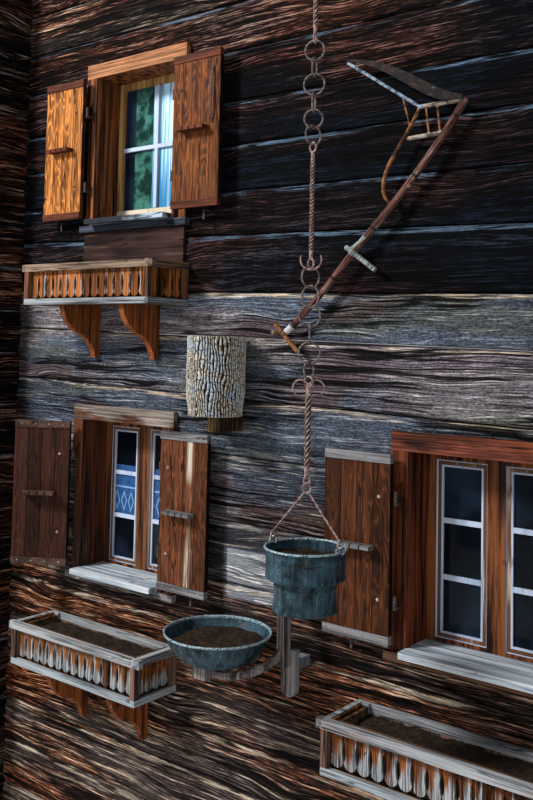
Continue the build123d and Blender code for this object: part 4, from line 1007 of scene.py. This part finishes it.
class CHALET_OT_logs(bpy.types.Operator):
    """Lay hewn log surfaces over the wall's front courses and the cross wall"""

    bl_idname = "chalet.logs"
    bl_label = "Hewn logs"

    # First course of each node, and how bleached and how brown each course is, from the lowest up;
    # the darkness of the upper courses is partly painted shade.
    FIRST = {"base_logs": 0, "lower_pier_logs": 7, "belt_logs": 9, "upper_pier_logs": 14, "crown_logs": 17}
    PALE = (0.24, 0.26, 0.26, 0.28, 0.26, 0.24, 0.26, 0.42, 0.55, 0.94, 1.0, 1.0, 0.06, 0.05,
            0.05, 0.05, 0.04, 0.03, 0.04, 0.04)
    WARM = (0.85, 0.9, 0.95, 0.95, 0.9, 0.9, 0.85, 0.7, 0.6, 0.5, 0.4, 0.4, 0.12, 0.05,
            0.04, 0.12, 0.34, 0.50, 0.68, 0.58)

    # Middle and half size of the stretch beside the tub that is drawn nearly white.
    WHITENED = ((0.100, 0, 1.800), (0.180, 0.120))

    # Where the bleaching grows from the corner's share to its full strength; its weakening towards the corner is
    # painted shade.
    CORNER = (-2.0, -1.4)
    CORNER_SHARE = 0.35

    def execute(self, context):
        sizes = context.scene.chalet_sizes
        finish = log_finish(context.scene.chalet_colours)
        ends, cuts = log_ends(), list(window_cuts())
        shells = {name: Shell() for name in FRONT_LOGS}
        for course in range(len(ends[2])):
            name = max((n for n in FRONT_LOGS if self.FIRST[n] <= course), key=self.FIRST.get)
            for along, bottom, top in front_log_parts(course, ends, cuts, sizes):
                rings, grain, rise = log_rings(along, bottom, top, 0.0, 0, 31 * course + 5, sizes)
                # Bleaching weakens towards the corner as painted shade.
                lit = soft_step(*self.CORNER, rings[..., 0])
                bleach_and_shade = self.PALE[course] * (self.CORNER_SHARE + (1 - self.CORNER_SHARE) * lit)
                spot = rings - np.array(self.WHITENED[0])
                spot = np.abs(spot[..., [0, 2]]) / np.array(self.WHITENED[1])
                in_front = rings[..., 1] < FACE / 2
                bleach_and_shade = bleach_and_shade + 1.6 * soft_step(1.15, 0.95, spot.max(axis=-1)) * in_front
                shells[name].tube(rings, grain=grain, rise=rise, pale=bleach_and_shade,
                                  warm=np.full(rise.shape, self.WARM[course]))
        for name, shell in shells.items():
            shell.piece(f"hewn_{name}", finish, stands_for=[name], slot="log_wood", sharp=40)
        self.cross_wall(ends, finish, sizes)
        return {"FINISHED"}

    def cross_wall(self, ends, finish, sizes):
        """The cross wall's logs lie half a course higher and are lapped over the front ones."""
        left, right, at_left, at_right = ends
        low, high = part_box("cross_wall_logs")
        middle = (low[0] + high[0]) / 2
        share = (middle - left) / (right - left)
        edges = sum(np.append(side[:, 0], side[-1, 1]) * part
                    for side, part in ((at_left, 1 - share), (at_right, share)))
        edges[1:-1] -= LOG_GAP / 2
        middles = np.concatenate([[edges[0]], (edges[1:] + edges[:-1]) / 2, [edges[-1]]])
        shell = Shell()
        last = len(edges) - 1
        for course in range(last + 1):
            front = low[1] + 0.016 * (course % 3)
            along = breakpoints(front, high[1], sizes.log_station, (-RETURN_NOTCH, RETURN_NOTCH))
            notch = np.abs(along) < RETURN_NOTCH
            here, below, above = edges[course], edges[max(course - 1, 0)], edges[min(course + 1, last)]
            bottom = np.full(len(along), middles[course] + LOG_GAP / 2)
            top = np.full(len(along), middles[course + 1] - LOG_GAP / 2)
            if course > 0:
                bottom = np.where(notch, here - (here - below) / 4 + LOG_GAP, bottom)
            if course < last:
                top = np.where(notch, here + (above - here) / 4 - LOG_GAP, top)
            rings, grain, rise = log_rings(along, bottom, top, middle, 1, 57 * course + 11, sizes)
            shell.tube(rings, grain=grain, rise=rise, pale=np.full(rise.shape, 0.05),
                       warm=np.full(rise.shape, 0.6))
        shell.piece("hewn_cross_wall", finish, stands_for=["cross_wall_logs"], slot="log_wood", sharp=40)


class CHALET_OT_windows(bpy.types.Operator):
    """Finish the casings, sills, sashes and panes of the three windows"""

    bl_idname = "chalet.windows"
    bl_label = "Windows"

    # Light and dark wood, rail and lintel of each casing, and the upper one's apron; the upper rail's dark
    # blue is painted shade.
    CASINGS = {
        "upper": ((0.220, 0.070, 0.020), (0.012, 0.004, 0.003), (0.050, 0.060, 0.085),
                  (0.360, 0.155, 0.070), (0.034, 0.015, 0.012)),
        "lower_left": ((0.085, 0.027, 0.011), (0.007, 0.003, 0.002), (0.200, 0.190, 0.180),
                       (0.230, 0.185, 0.160)),
        "lower_right": ((0.145, 0.036, 0.013), (0.010, 0.003, 0.002), (0.150, 0.078, 0.046),
                        (0.240, 0.064, 0.040)),
    }

    def execute(self, context):
        colours = context.scene.chalet_colours
        woods = {
            "upper": (tuple(colours.sash), (0.190, 0.095, 0.030)),
            "lower_left": ((0.150, 0.054, 0.021), (0.014, 0.006, 0.004)),
            "lower_right": ((0.165, 0.053, 0.017), (0.010, 0.004, 0.003)),
        }
        for window in WINDOWS:
            put(casing_finish(window, colours, *self.CASINGS[window]), f"{window}_window_frame")
            put(sash_finish(window, colours, *woods[window]), f"{window}_sash")
        put(board_finish("sill_boards", (0.110, 0.155, 0.200), (0.470, 0.495, 0.515), 0, 1.1,
                         self.shaded_sill), "window_sills")
        put(glass_finish(), "window_glass")
        return {"FINISHED"}

    @staticmethod
    def shaded_sill(f, where, wood, patch):
        """The upper window's sill is darkened as painted shade, with bluish white worn patches."""
        dark = f.mix((0.020, 0.020, 0.026), (0.30, 0.36, 0.44), patch.step(0.50, 0.62))
        return f.mix(wood, dark, f.axes(where)[2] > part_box("upper_sash")[0][2] - 0.1)


class CHALET_OT_shutters(bpy.types.Operator):
    """Finish the shutters and add their nails, bolts and iron handle"""

    bl_idname = "chalet.shutters"
    bl_label = "Shutters"

    # Bolts: distance from the hinge, height in the strap and size as a share of a nail's.
    BOLT, STRAP_MIDDLE, BOLT_SHARE = 0.078, 0.022, 1.9

    # Pull: distance from the hinge, drop from the leaf's top, height, bow and plates' radius.
    PULL = (0.315, 0.10, 0.30, 0.022, 0.011)

    def execute(self, context):
        sizes, colours = context.scene.chalet_sizes, context.scene.chalet_colours
        iron = iron_finish("dark_iron", (0.075, 0.060, 0.058), (0.060, 0.026, 0.014))
        bolts = iron_finish("pale_bolts", (0.420, 0.380, 0.360), (0.200, 0.100, 0.060))
        larch, board = tuple(colours.larch), tuple(colours.board)
        dark = toned(board, 0.22)
        red, brown, grey = (0.100, 0.028, 0.014), (0.075, 0.042, 0.032), (0.170, 0.165, 0.170)
        # Light and dark wood, battens, swing in the rest pose, boards and the place of a worn strip.
        looks = {
            "upper_left_shutter": (larch, (0.075, 0.023, 0.006), red, 0, 4, None),
            "upper_right_shutter": ((0.112, 0.034, 0.009), (0.017, 0.006, 0.003), red, 0, 5, None),
            "lower_left_left_shutter": ((0.030, 0.010, 0.006), dark, brown, 30, 4, None),
            "lower_left_right_shutter": ((0.105, 0.033, 0.013), dark, grey, 0, 4, (0.235, 0.030)),
            "lower_right_left_shutter": (board, dark, grey, 0, 4, None),
            "lower_right_right_shutter": (board, dark, grey, 0, 4, None),
        }
        for shutter, (light, shade, batten, swing, planks, worn) in looks.items():
            width = LEAF_WIDE if shutter.startswith("lower_right") else LEAF
            put(shutter_finish(shutter, light, shade, batten, swing, width / planks, worn), shutter)
            self.nails(shutter, swing, bolts if "lower" in shutter else iron, sizes.nail, width, planks)
        put(iron, "shutter_pintles", "shutter_catches", *(f"{name}_hinges" for name in looks))
        self.handle("upper_right_shutter", iron)
        return {"FINISHED"}

    def nails(self, shutter, swing, iron, nail, width, planks):
        """A domed nail head on each board at both battens, and a bolt head over each hinge strap."""
        origin, away, out = leaf_frame(shutter, swing)
        low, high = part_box(shutter)
        hinge_low, hinge_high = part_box(f"{shutter}_hinges")
        boards = HINGE_GAP + (np.arange(planks) + 0.5) * width / planks
        spots = [(along, z, BATTEN_FACE, nail)
                 for z in (low[2] + BATTEN / 2, high[2] - BATTEN / 2) for along in boards]
        spots += [(self.BOLT, z, BOARD_FACE, nail * self.BOLT_SHARE)
                  for z in (hinge_low[2] + self.STRAP_MIDDLE, hinge_high[2] - self.STRAP_MIDDLE)]
        shell = Shell()
        for along, z, face, radius in spots:
            shell.tube(dome(origin + away * along + out * face + np.array([0, 0, z]), away, out, radius))
        shell.piece(f"{shutter}_nails", iron, body=body_of(shutter), slot="forged_iron")

    def handle(self, shutter, iron):
        """A flat iron pull on the leaf's outer face: a bent strip between two plates."""
        origin, away, out = leaf_frame(shutter, 0)
        along, drop, height, bow, plate = self.PULL
        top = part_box(shutter)[1][2] - drop
        seat = origin + away * along + out * (BOARD_FACE + 0.0005)
        up = np.array([0, 0, 1])
        turn = np.linspace(0, np.pi, 15)[:, None]
        path = seat + out * bow * np.sin(turn) + up * (top - height / 2 + height / 2 * np.cos(turn))
        strip = np.array([(-0.002, -0.006), (-0.002, 0.006), (0.002, 0.006), (0.002, -0.006)])
        shell = Shell()
        shell.tube(sweep(path, strip, up=away))
        for z in (top, top - height):
            shell.tube(dome(seat + up * z, away, out, plate))
        shell.piece("shutter_pull", iron, body=body_of(shutter), slot="forged_iron")


class CHALET_OT_boxes(bpy.types.Operator):
    """Finish the flower boxes, their fretted slats and their brackets"""

    bl_idname = "chalet.boxes"
    bl_label = "Flower boxes"

    # Light and dark wood of the rails and of the slats, and how bleached the slats are.
    WHITENED = ((0.290, 0.300, 0.310), (0.042, 0.044, 0.048))
    RAILS = {"upper": ((0.210, 0.145, 0.105), (0.022, 0.012, 0.008)), "lower_left": WHITENED,
             "lower_right": WHITENED}
    SLATS = {
        "upper": ((0.420, 0.130, 0.027), (0.012, 0.005, 0.003), 0.35),
        "lower_left": ((0.260, 0.090, 0.024), (0.014, 0.006, 0.003), 0.95),
        "lower_right": ((0.240, 0.072, 0.018), (0.012, 0.005, 0.003), 0.90),
    }

    def execute(self, context):
        for window in WINDOWS:
            put(box_finish(window, *self.RAILS[window]), f"{window}_flower_box")
            put(slat_finish(window, *self.SLATS[window]), f"{window}_box_slats")
        wood = board_finish("bracket_wood", (0.026, 0.008, 0.003), (0.240, 0.070, 0.020), 2, 1.1)
        put(wood, "box_brackets")
        return {"FINISHED"}


class CHALET_OT_planters(bpy.types.Operator):
    """Model the bark planter, the zinc basin and tub, and the soil; finish what carries them"""

    bl_idname = "chalet.planters"
    bl_label = "Planters"

    # The bark planter's wall and floor, and the rolled rims' radius and distance from the edge.
    BARK_WALL, BARK_FLOOR = 0.030, 0.07
    BEAD, BEAD_SEAT = 0.0055, 0.0058

    def execute(self, context):
        sizes, colours = context.scene.chalet_sizes, context.scene.chalet_colours
        self.bark(sizes, colours)
        self.basin(tuple(colours.zinc))
        self.tub(tuple(colours.zinc))
        self.soil(sizes.lump, colours)
        put(bracket_finish(), "planter_brackets")
        return {"FINISHED"}

    def bark(self, sizes, colours):
        """A hollow log: its wall is a cylinder that flares upwards and sinks along wandering furrows,
        with two sums of sines for the lumps and the roughness of the plates between them."""
        low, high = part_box("log_planter")
        centre, radius = plan_middle("log_planter"), (high[0] - low[0]) / 2
        turn, rows = turns(480), np.linspace(low[2] + 0.003, high[2] - 0.004, 170)
        flare = 0.905 + 0.085 * soft_step(low[2], low[2] + 0.14, rows)
        place = rings_about((0, 0), 9.5, rows * 13, turn)
        sway = ripple(place * np.array([1, 1, 3.0]), 3, 0.8, 7.0) * 0.60
        furrow = self.furrows(radius, rows - low[2], turn, sizes.bark_plate, sway)
        plates = ripple(place * np.array([1.9, 1.9, 2.4]), 12, 1.0, 4.0)
        lump = 0.5 + 0.5 * ripple(place * 0.22, 5, 0.6, 2.0)
        reach = radius * flare[:, None] - furrow * sizes.bark_depth - 0.0016 * (1 + plates) - 0.004 * lump
        bore, floor = radius - self.BARK_WALL, low[2] + self.BARK_FLOOR
        rings = np.concatenate([
            turned(centre, [(0.002, low[2]), (radius * 0.86, low[2])], turn),
            rings_about(centre, reach, rows, turn),
            rings_about(centre, reach[-1] * np.array([[0.995], [0.90]]), [high[2], high[2]], turn),
            turned(centre, [(bore, high[2]), (bore - 0.002, high[2] - 0.004), (bore - 0.002, floor),
                            (0.002, floor)], turn)])
        wall = slice(2, 2 + len(rows))
        bare, deep = np.ones(rings.shape[:2]), np.zeros(rings.shape[:2])
        bare[wall], deep[wall] = 0, furrow
        shell = Shell()
        shell.tube(rings, furrow=deep, bare=bare)
        shell.piece("bark_planter", bark_finish(colours), stands_for=["log_planter"], slot="bark", sharp=70)

    @staticmethod
    def furrows(radius, rows, turn, plate, sway):
        """How deep the bark is cracked: upright furrows that wander together bound columns of plates,
        and shallower level cracks break each column at heights of its own."""
        rng = np.random.default_rng(6)
        around = int(round(2 * np.pi * radius / plate))
        across = turn[None] / (2 * np.pi) * around + sway
        column = np.floor(across).astype(int) % around
        aside = across - np.floor(across)
        pitch = rng.uniform(1.6, 3.2, around)[column]
        level = (rows / plate)[:, None] / pitch + rng.uniform(0, 1, around)[column] + aside * 0.16
        upright = soft_step(0.20, 0.42, np.abs(aside - 0.5))
        broken = soft_step(0.42, 0.48, np.abs(level - np.floor(level) - 0.5))
        return np.maximum(upright, broken * 0.75)

    def vessel(self, shell, centre, rim, top, outer, inner, seed, depth):
        """Turn a profile of (radius, height) pairs with a rolled rim between its outside and inside;
        its dents only ever draw the wall inwards."""
        bead = np.radians(np.linspace(-60, 200, 9))
        rolled = np.stack([rim - self.BEAD_SEAT + self.BEAD * np.cos(bead),
                           top - self.BEAD_SEAT + self.BEAD * np.sin(bead)], -1)
        radii, heights = np.concatenate([outer, rolled, inner]).T
        turn = turns(96)
        place = rings_about((0, 0), 2.0, heights * 14, turn)
        wobble = 1 - depth * dips(place, seed, 0.6, 2.2)
        shell.tube(rings_about(centre, radii[:, None] * wobble, heights, turn))

    def basin(self, zinc):
        """A shallow bowl turned from its profile, with a rolled rim and a pressed step."""
        low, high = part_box("zinc_basin")
        rim, foot, top, base = (high[0] - low[0]) / 2, 0.186, high[2], low[2]
        outer = [(0.004, base), (foot - 0.006, base), (foot, base + 0.004), (0.206, base + 0.026),
                 (0.226, base + 0.058), (0.238, base + 0.066), (0.252, base + 0.100),
                 (rim - 0.0075, top - 0.010)]
        inner = [(rim - 0.012, top - 0.012), (0.248, top - 0.030), (0.223, base + 0.059),
                 (0.203, base + 0.027), (foot - 0.004, base + 0.006), (0.004, base + 0.006)]
        shell = Shell()
        self.vessel(shell, plan_middle("zinc_basin"), rim, top, outer, inner, 4, 0.008)
        shell.piece("basin_shell", zinc_finish("dark_zinc", zinc, 0.42, top - 0.012),
                    stands_for=["zinc_basin"], slot="zinc", sharp=50)

    def tub(self, zinc):
        """A bucket turned from its profile: flared foot, narrow body, wide band and rolled rim."""
        low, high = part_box("hanging_tub")
        centre, ear = plan_middle("hanging_tub"), 0.016
        top, base = high[2] - ear - 0.0045, low[2]
        step = base + 0.131
        outer = [(0.004, base), (0.1335, base), (0.135, base + 0.004), (0.1325, base + 0.010),
                 (0.129, base + 0.034), (0.1285, base + 0.090), (0.131, base + 0.094),
                 (0.131, base + 0.099), (0.1285, base + 0.103), (0.129, step - 0.003), (0.163, step),
                 (0.1652, step + 0.004), (0.1652, step + 0.012), (0.1625, step + 0.016),
                 (0.1632, top - 0.045), (0.1665, top - 0.041), (0.1665, top - 0.034),
                 (0.1640, top - 0.030), (0.1645, top - 0.012)]
        inner = [(0.1625, top - 0.014), (0.1605, step + 0.004), (0.126, step + 0.002),
                 (0.126, base + 0.005), (0.004, base + 0.004)]
        shell = Shell()
        self.vessel(shell, centre, (high[1] - low[1]) / 2, top, outer, inner, 9, 0.010)
        for side in (-1, 1):
            middle = np.array([centre[0] + side * TUB_RIM, centre[1], top])
            shell.tube(torus(middle, np.array([1.0, 0, 0]), np.array([0, 1.0, 0]), ear, 0.0044), loop=True)
        shell.piece("tub_shell", zinc_finish("blue_zinc", zinc, 0.36, top - 0.008),
                    stands_for=["hanging_tub"], slot="zinc", sharp=50)

    def soil(self, lump, colours):
        """Soil fills: the top of each sinks from its plain level into lumps and hollows."""
        shell = Shell()
        points = node_points("potting_soil")
        for planter in (*(f"{w}_flower_box" for w in WINDOWS), "log_planter", "zinc_basin", "hanging_tub"):
            low, high = np.array(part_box(planter))
            inside = points[np.all((points > low) & (points < high), axis=1)]
            bottom, top = inside.min(axis=0), inside.max(axis=0)
            if planter.endswith("flower_box"):
                shell.tube(self.long_bed(bottom, top, lump))
            else:
                shell.tube(self.round_bed(bottom, top, lump, 0.80 if planter == "zinc_basin" else 0.98))
        shell.piece("soil_fill", soil_finish(colours), stands_for=["potting_soil"], slot="potting_soil",
                    sharp=60)

    @staticmethod
    def round_bed(low, high, lump, foot):
        """A round bed: its floor, narrower by the share foot, and lumpy rings towards its middle."""
        centre, radius, turn = (low[:2] + high[:2]) / 2, (high[0] - low[0]) / 2, turns(96)
        lid = rings_about(centre, radius * np.linspace(1, 0.01, 30)[:, None], np.full(30, high[2]), turn)
        lid[..., 2] -= lump * dips(lid[..., :2] * 42, 21, 0.7, 3.5)
        return np.concatenate([turned(centre, [(0.003, low[2]), (radius * foot, low[2])], turn), lid])

    @staticmethod
    def long_bed(low, high, lump):
        """A long bed as rings across its length: floor, side, lumpy top and side."""
        along, across = np.linspace(low[0], high[0], 110), np.linspace(low[1], high[1], 26)
        x, y = np.meshgrid(along, across, indexing="ij")
        lid = np.stack([x, y, high[2] - lump * dips(np.stack([x, y], -1) * 42, 17, 0.7, 3.5)], -1)
        floor = np.stack([x[:, :2], y[:, [-1, 0]], np.full((len(along), 2), low[2])], -1)
        return np.concatenate([lid, floor], axis=1)


class CHALET_OT_chain(bpy.types.Operator):
    """Forge the kettle chain: twisted rods with eyes and hooks, rings and long links"""

    bl_idname = "chalet.chain"
    bl_label = "Kettle chain"

    # As in the CAD model: reach and turn of the elements that hang under each rod.
    UPPER = (("ring", 0.042, 20), ("link", 0.039, 100), ("ring", 0.045, 20), ("link", 0.041, 110),
             ("ring", 0.039, 30), ("ring", 0.041, 75))
    LOWER = (("ring", 0.045, 72), ("ring", 0.046, -5), ("ring", 0.044, 40), ("link", 0.042, 125),
             ("ring", 0.044, 35), ("ring", 0.037, 92))
    EYE, EAR, BAR = 0.020, 0.016, 0.0045
    TOP_FOOT, MIDDLE_LENGTH, THICK_LENGTH = 4.300, 0.492, 0.405
    THIN_ROD, THICK_ROD = 0.0104, 0.0138
    HOOK_TURN = 35
    FOOT_HOOK = ((-0.040, 0.062), (0, 0), (0.040, 0.062))
    HEAD_HOOK = ((0, 0), (0.026, 0.037), (0.052, -0.022))
    FOOT_HOOK_DROP, HEAD_HOOK_DROP = 0.025, 0.030
    LINK_END = 0.55
    HANGER_START = (0.5, 0.85)

    # Distance between a rod's sections, its reach into an eye, and where its ridges fade at the ends.
    STATION, BITE, FADE = 0.0025, 0.003, (0.03, 0.07)

    def hung(self, upper, lower):
        """Distance between the centres of two elements, the lower hanging in the upper."""
        return upper + lower - 2 * self.BAR - LOG_GAP

    def hang(self, start, elements):
        """Heights of the elements under an eye, and of the eye that hangs under them."""
        z, reach, places = start, self.EYE, []
        for kind, size, turn in elements:
            z -= self.hung(reach, size)
            reach = size
            places.append((kind, z, size, turn))
        return places, z - self.hung(reach, self.EYE)

    def execute(self, context):
        sizes = context.scene.chalet_sizes
        bare = iron_finish("bare_iron", tuple(context.scene.chalet_colours.iron), (0.075, 0.040, 0.032))
        rusty = iron_finish("rusty_iron", (0.330, 0.235, 0.215), (0.150, 0.066, 0.046))
        self.line, self.wire, self.shell = plan_middle("hanging_tub"), sizes.wire, Shell()
        upper, middle_head = self.hang(self.TOP_FOOT, self.UPPER)
        middle_foot = middle_head - self.MIDDLE_LENGTH
        lower, thick_head = self.hang(middle_foot, self.LOWER)
        thick_foot = thick_head - self.THICK_LENGTH
        top_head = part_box("chain_rods")[1][2] - self.EYE - self.BAR
        for kind, z, size, turn in upper + lower:
            (self.ring if kind == "ring" else self.link)(z, size, turn)
        self.shell.piece("forged_links", bare, stands_for=["chain_links"], slot="forged_iron")

        self.shell, pitch = Shell(), sizes.twist_pitch
        self.rod(self.TOP_FOOT, top_head, self.THIN_ROD, self.UPPER[0][2] + 90, 90, pitch * 1.4)
        self.rod(middle_foot, middle_head, self.THIN_ROD, self.LOWER[0][2] + 90, self.UPPER[-1][2] + 90,
                 pitch)
        self.prong(middle_foot - self.FOOT_HOOK_DROP, self.FOOT_HOOK, 1)
        self.rod(thick_foot, thick_head, self.THICK_ROD, 90, self.LOWER[-1][2] + 90, pitch * 1.6)
        for side in (-1, 1):
            self.prong(thick_head - self.HEAD_HOOK_DROP, self.HEAD_HOOK, side)
        self.hanger(thick_foot - self.hung(self.EYE, self.EYE))
        self.shell.piece("twisted_rods", rusty, stands_for=["chain_rods"], slot="forged_iron")
        put(bare, "chain_arm")
        return {"FINISHED"}

    def sides(self, turn):
        """Side and normal of an upright plane through the chain's line."""
        angle = np.radians(turn)
        return np.array([np.cos(angle), np.sin(angle), 0]), np.array([np.sin(angle), -np.cos(angle), 0])

    def ring(self, z, radius, turn, x=None):
        """A hand-closed ring: a circle of round bar."""
        centre = np.array([self.line[0] if x is None else x, self.line[1], z])
        self.shell.tube(torus(centre, *self.sides(turn), radius, self.wire), loop=True)

    def link(self, z, half, turn):
        """A long link: two half circles joined by straight sides."""
        side, normal = self.sides(turn)
        end = self.LINK_END * half
        arc = np.linspace(0, np.pi, 14)
        across = np.concatenate([end * np.cos(arc), -end * np.cos(arc)])
        bow = half - end + end * np.sin(arc)
        path = self.bent(z, side, across, np.concatenate([bow, -bow]))
        self.shell.tube(sweep(path, circle(self.wire), closed=True, up=normal), loop=True)

    def bent(self, z, side, across, rise):
        """A path in an upright plane through the chain's line."""
        return np.array([*self.line, z]) + side * across[:, None] + np.array([0, 0, 1]) * rise[:, None]

    def rod(self, foot, head, radius, foot_turn, head_turn, pitch):
        """A bar with four ridges that wind round it, drawn out round at both ends, between two eyes."""
        self.ring(foot, self.EYE, foot_turn)
        self.ring(head, self.EYE, head_turn)
        z = np.arange(foot + self.EYE - self.BITE, head - self.EYE + self.BITE, self.STATION)
        turn = turns(16)
        wind = (z - foot) / pitch * 2 * np.pi
        near, far = self.FADE
        fade = np.minimum(soft_step(foot + near, foot + far, z), soft_step(head - near, head - far, z))
        groove = (0.5 - 0.5 * np.cos(4 * turn))[None]
        reach = radius * (0.80 + fade[:, None] * (0.20 - 0.30 * groove))
        self.shell.tube(rings_about(self.line, reach, z, turn[None] + wind[:, None]),
                        groove=groove * fade[:, None])

    def prong(self, z, points, side):
        """A bent bar on the circle through three (aside, rise) points, thinning towards its tips."""
        start, crest, tip = (complex(side * aside, rise) for aside, rise in points)
        w = (tip - start) / (crest - start)
        middle = start + (crest - start) * (w - abs(w) ** 2) / (2j * w.imag)
        first = start - middle
        by_crest, turn = np.angle((crest - middle) / first), np.angle((tip - middle) / first)
        if np.sign(turn) != np.sign(by_crest):
            turn += 2 * np.pi * np.sign(by_crest)
        share = np.linspace(0, 1, 25)
        arc = middle + first * np.exp(1j * turn * share)
        along, normal = self.sides(self.HOOK_TURN)
        fine = np.abs(share * 2 - 1) if start.real * tip.real < 0 else share
        outline = circle(self.wire)[None] * (1 - 0.5 * fine ** 2)[:, None, None]
        self.shell.tube(sweep(self.bent(z, along, arc.real, arc.imag), outline, up=normal))

    def hanger(self, head):
        """Two straight bars from the last eye down to the tub's ears."""
        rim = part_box("hanging_tub")[1][2] - self.EAR - self.BAR
        foot = rim + self.hung(self.EAR, self.EAR)
        self.ring(head, self.EYE, 0)
        for side in (-1, 1):
            ear_x = self.line[0] + side * TUB_RIM
            aside, drop = self.HANGER_START
            start = np.array([self.line[0] + side * aside * self.EYE, self.line[1], head - drop * self.EYE])
            end = np.array([ear_x, self.line[1], foot + self.EAR])
            path = start + (end - start) * np.linspace(0, 1, 8)[:, None]
            self.shell.tube(sweep(path, circle(self.wire), up=(0, 1, 0)))
            self.ring(foot, self.EAR, 90, ear_x)


class CHALET_OT_scythe(bpy.types.Operator):
    """Finish the scythe, its cradle and the pegs that carry it"""

    bl_idname = "chalet.scythe"
    bl_label = "Scythe"

    def execute(self, context):
        put(pole_finish(), "scythe_snath")
        put(cradle_finish(), "scythe_cradle")
        put(board_finish("peg_wood", (0.050, 0.026, 0.016), (0.240, 0.150, 0.090), 1), "wall_pegs")
        put(blade_finish(), "scythe_blade")
        return {"FINISHED"}


class CHALET_OT_studio(bpy.types.Operator):
    """Set up the pale floor, the soft lamps and the camera"""

    bl_idname = "chalet.studio"
    bl_label = "Studio"

    EYE = (3.140, -3.910, 3.000)
    HEADING, TILT, ROLL = 38.243, 3.502, 1.242
    LENS, SENSOR, SHIFT = 41.79, 36.0, -0.1408
    FLOOR_REACH = 30.0
    WORLD, WORLD_STRENGTH = (0.93, 0.95, 1.0, 1), 0.42

    # Place, aim, power and size: a soft key from the upper front left and a wide fill from the right.
    LAMPS = {"key": ((-4.6, -7.0, 9.0), (0.2, 0, 2.8), 1750, 1.8),
             "fill": ((6.0, -6.5, 3.5), (0, 0, 2.5), 120, 5.0)}

    def execute(self, context):
        scene = context.scene
        scene.view_settings.view_transform = "Standard"
        self.stand("floor", self.floor_mesh(), (0, 0, cad_low[2] - 0.0005))
        world = bpy.data.worlds.new("studio")
        world.use_nodes = True
        background = world.node_tree.nodes["Background"].inputs
        background[0].default_value, background[1].default_value = self.WORLD, self.WORLD_STRENGTH
        scene.world = world
        for name, (place, aim, energy, size) in self.LAMPS.items():
            lamp = bpy.data.lights.new(name, "AREA")
            lamp.energy, lamp.size = energy, size
            towards = (Vector(aim) - Vector(place)).to_track_quat("-Z", "Y")
            self.stand(name, lamp, place, towards.to_euler())
        camera = bpy.data.cameras.new("camera")
        camera.lens, camera.sensor_width, camera.shift_y = self.LENS, self.SENSOR, self.SHIFT
        heading, tilt, roll = np.radians([self.HEADING, 90 + self.TILT, self.ROLL])
        turn = (Euler((0, 0, heading)).to_matrix() @ Euler((tilt, 0, 0)).to_matrix()
                @ Euler((0, 0, roll)).to_matrix())
        scene.camera = self.stand("camera", camera, self.EYE, turn.to_euler())
        return {"FINISHED"}

    @staticmethod
    def stand(name, data, place, turn=(0, 0, 0)):
        """Put a new object into the scene."""
        piece = bpy.data.objects.new(name, data)
        piece.location, piece.rotation_euler = place, turn
        bpy.context.scene.collection.objects.link(piece)
        return piece

    def floor_mesh(self):
        """A wide pale floor."""
        mesh, reach = bpy.data.meshes.new("floor"), self.FLOOR_REACH
        corners = [(-reach, -reach, 0), (reach, -reach, 0), (reach, reach, 0), (-reach, reach, 0)]
        mesh.from_pydata(corners, [], [(0, 1, 2, 3)])
        mesh.materials.append(Finish("pale_floor").done((0.80, 0.79, 0.77), 0.9))
        return mesh


class CHALET_PT_panel(bpy.types.Panel):
    """The wall's pieces, sizes and colours in the sidebar"""

    bl_label = "Chalet wall"
    bl_idname = "CHALET_PT_panel"
    bl_space_type = "VIEW_3D"
    bl_region_type = "UI"
    bl_category = "Chalet"

    def draw(self, context):
        for operator in OPERATORS:
            self.layout.operator(operator.bl_idname)
        for group in (context.scene.chalet_sizes, context.scene.chalet_colours):
            for name in group.__annotations__:
                self.layout.prop(group, name)


OPERATORS = (CHALET_OT_logs, CHALET_OT_windows, CHALET_OT_shutters, CHALET_OT_boxes,
             CHALET_OT_planters, CHALET_OT_chain, CHALET_OT_scythe, CHALET_OT_studio)
CLASSES = (ChaletSizes, ChaletColours, *OPERATORS, CHALET_PT_panel)


def register():
    """Add the classes, and the sizes and colours as settings of the scene."""
    for kind in CLASSES:
        bpy.utils.register_class(kind)
    bpy.types.Scene.chalet_sizes = bpy.props.PointerProperty(type=ChaletSizes)
    bpy.types.Scene.chalet_colours = bpy.props.PointerProperty(type=ChaletColours)


def unregister():
    """Take away what register adds."""
    del bpy.types.Scene.chalet_colours
    del bpy.types.Scene.chalet_sizes
    for kind in reversed(CLASSES):
        bpy.utils.unregister_class(kind)


def main():
    """Make every piece in turn."""
    register()
    for operator in OPERATORS:
        module, name = operator.bl_idname.split(".")
        getattr(getattr(bpy.ops, module), name)()


if __name__ == "__main__":
    main()
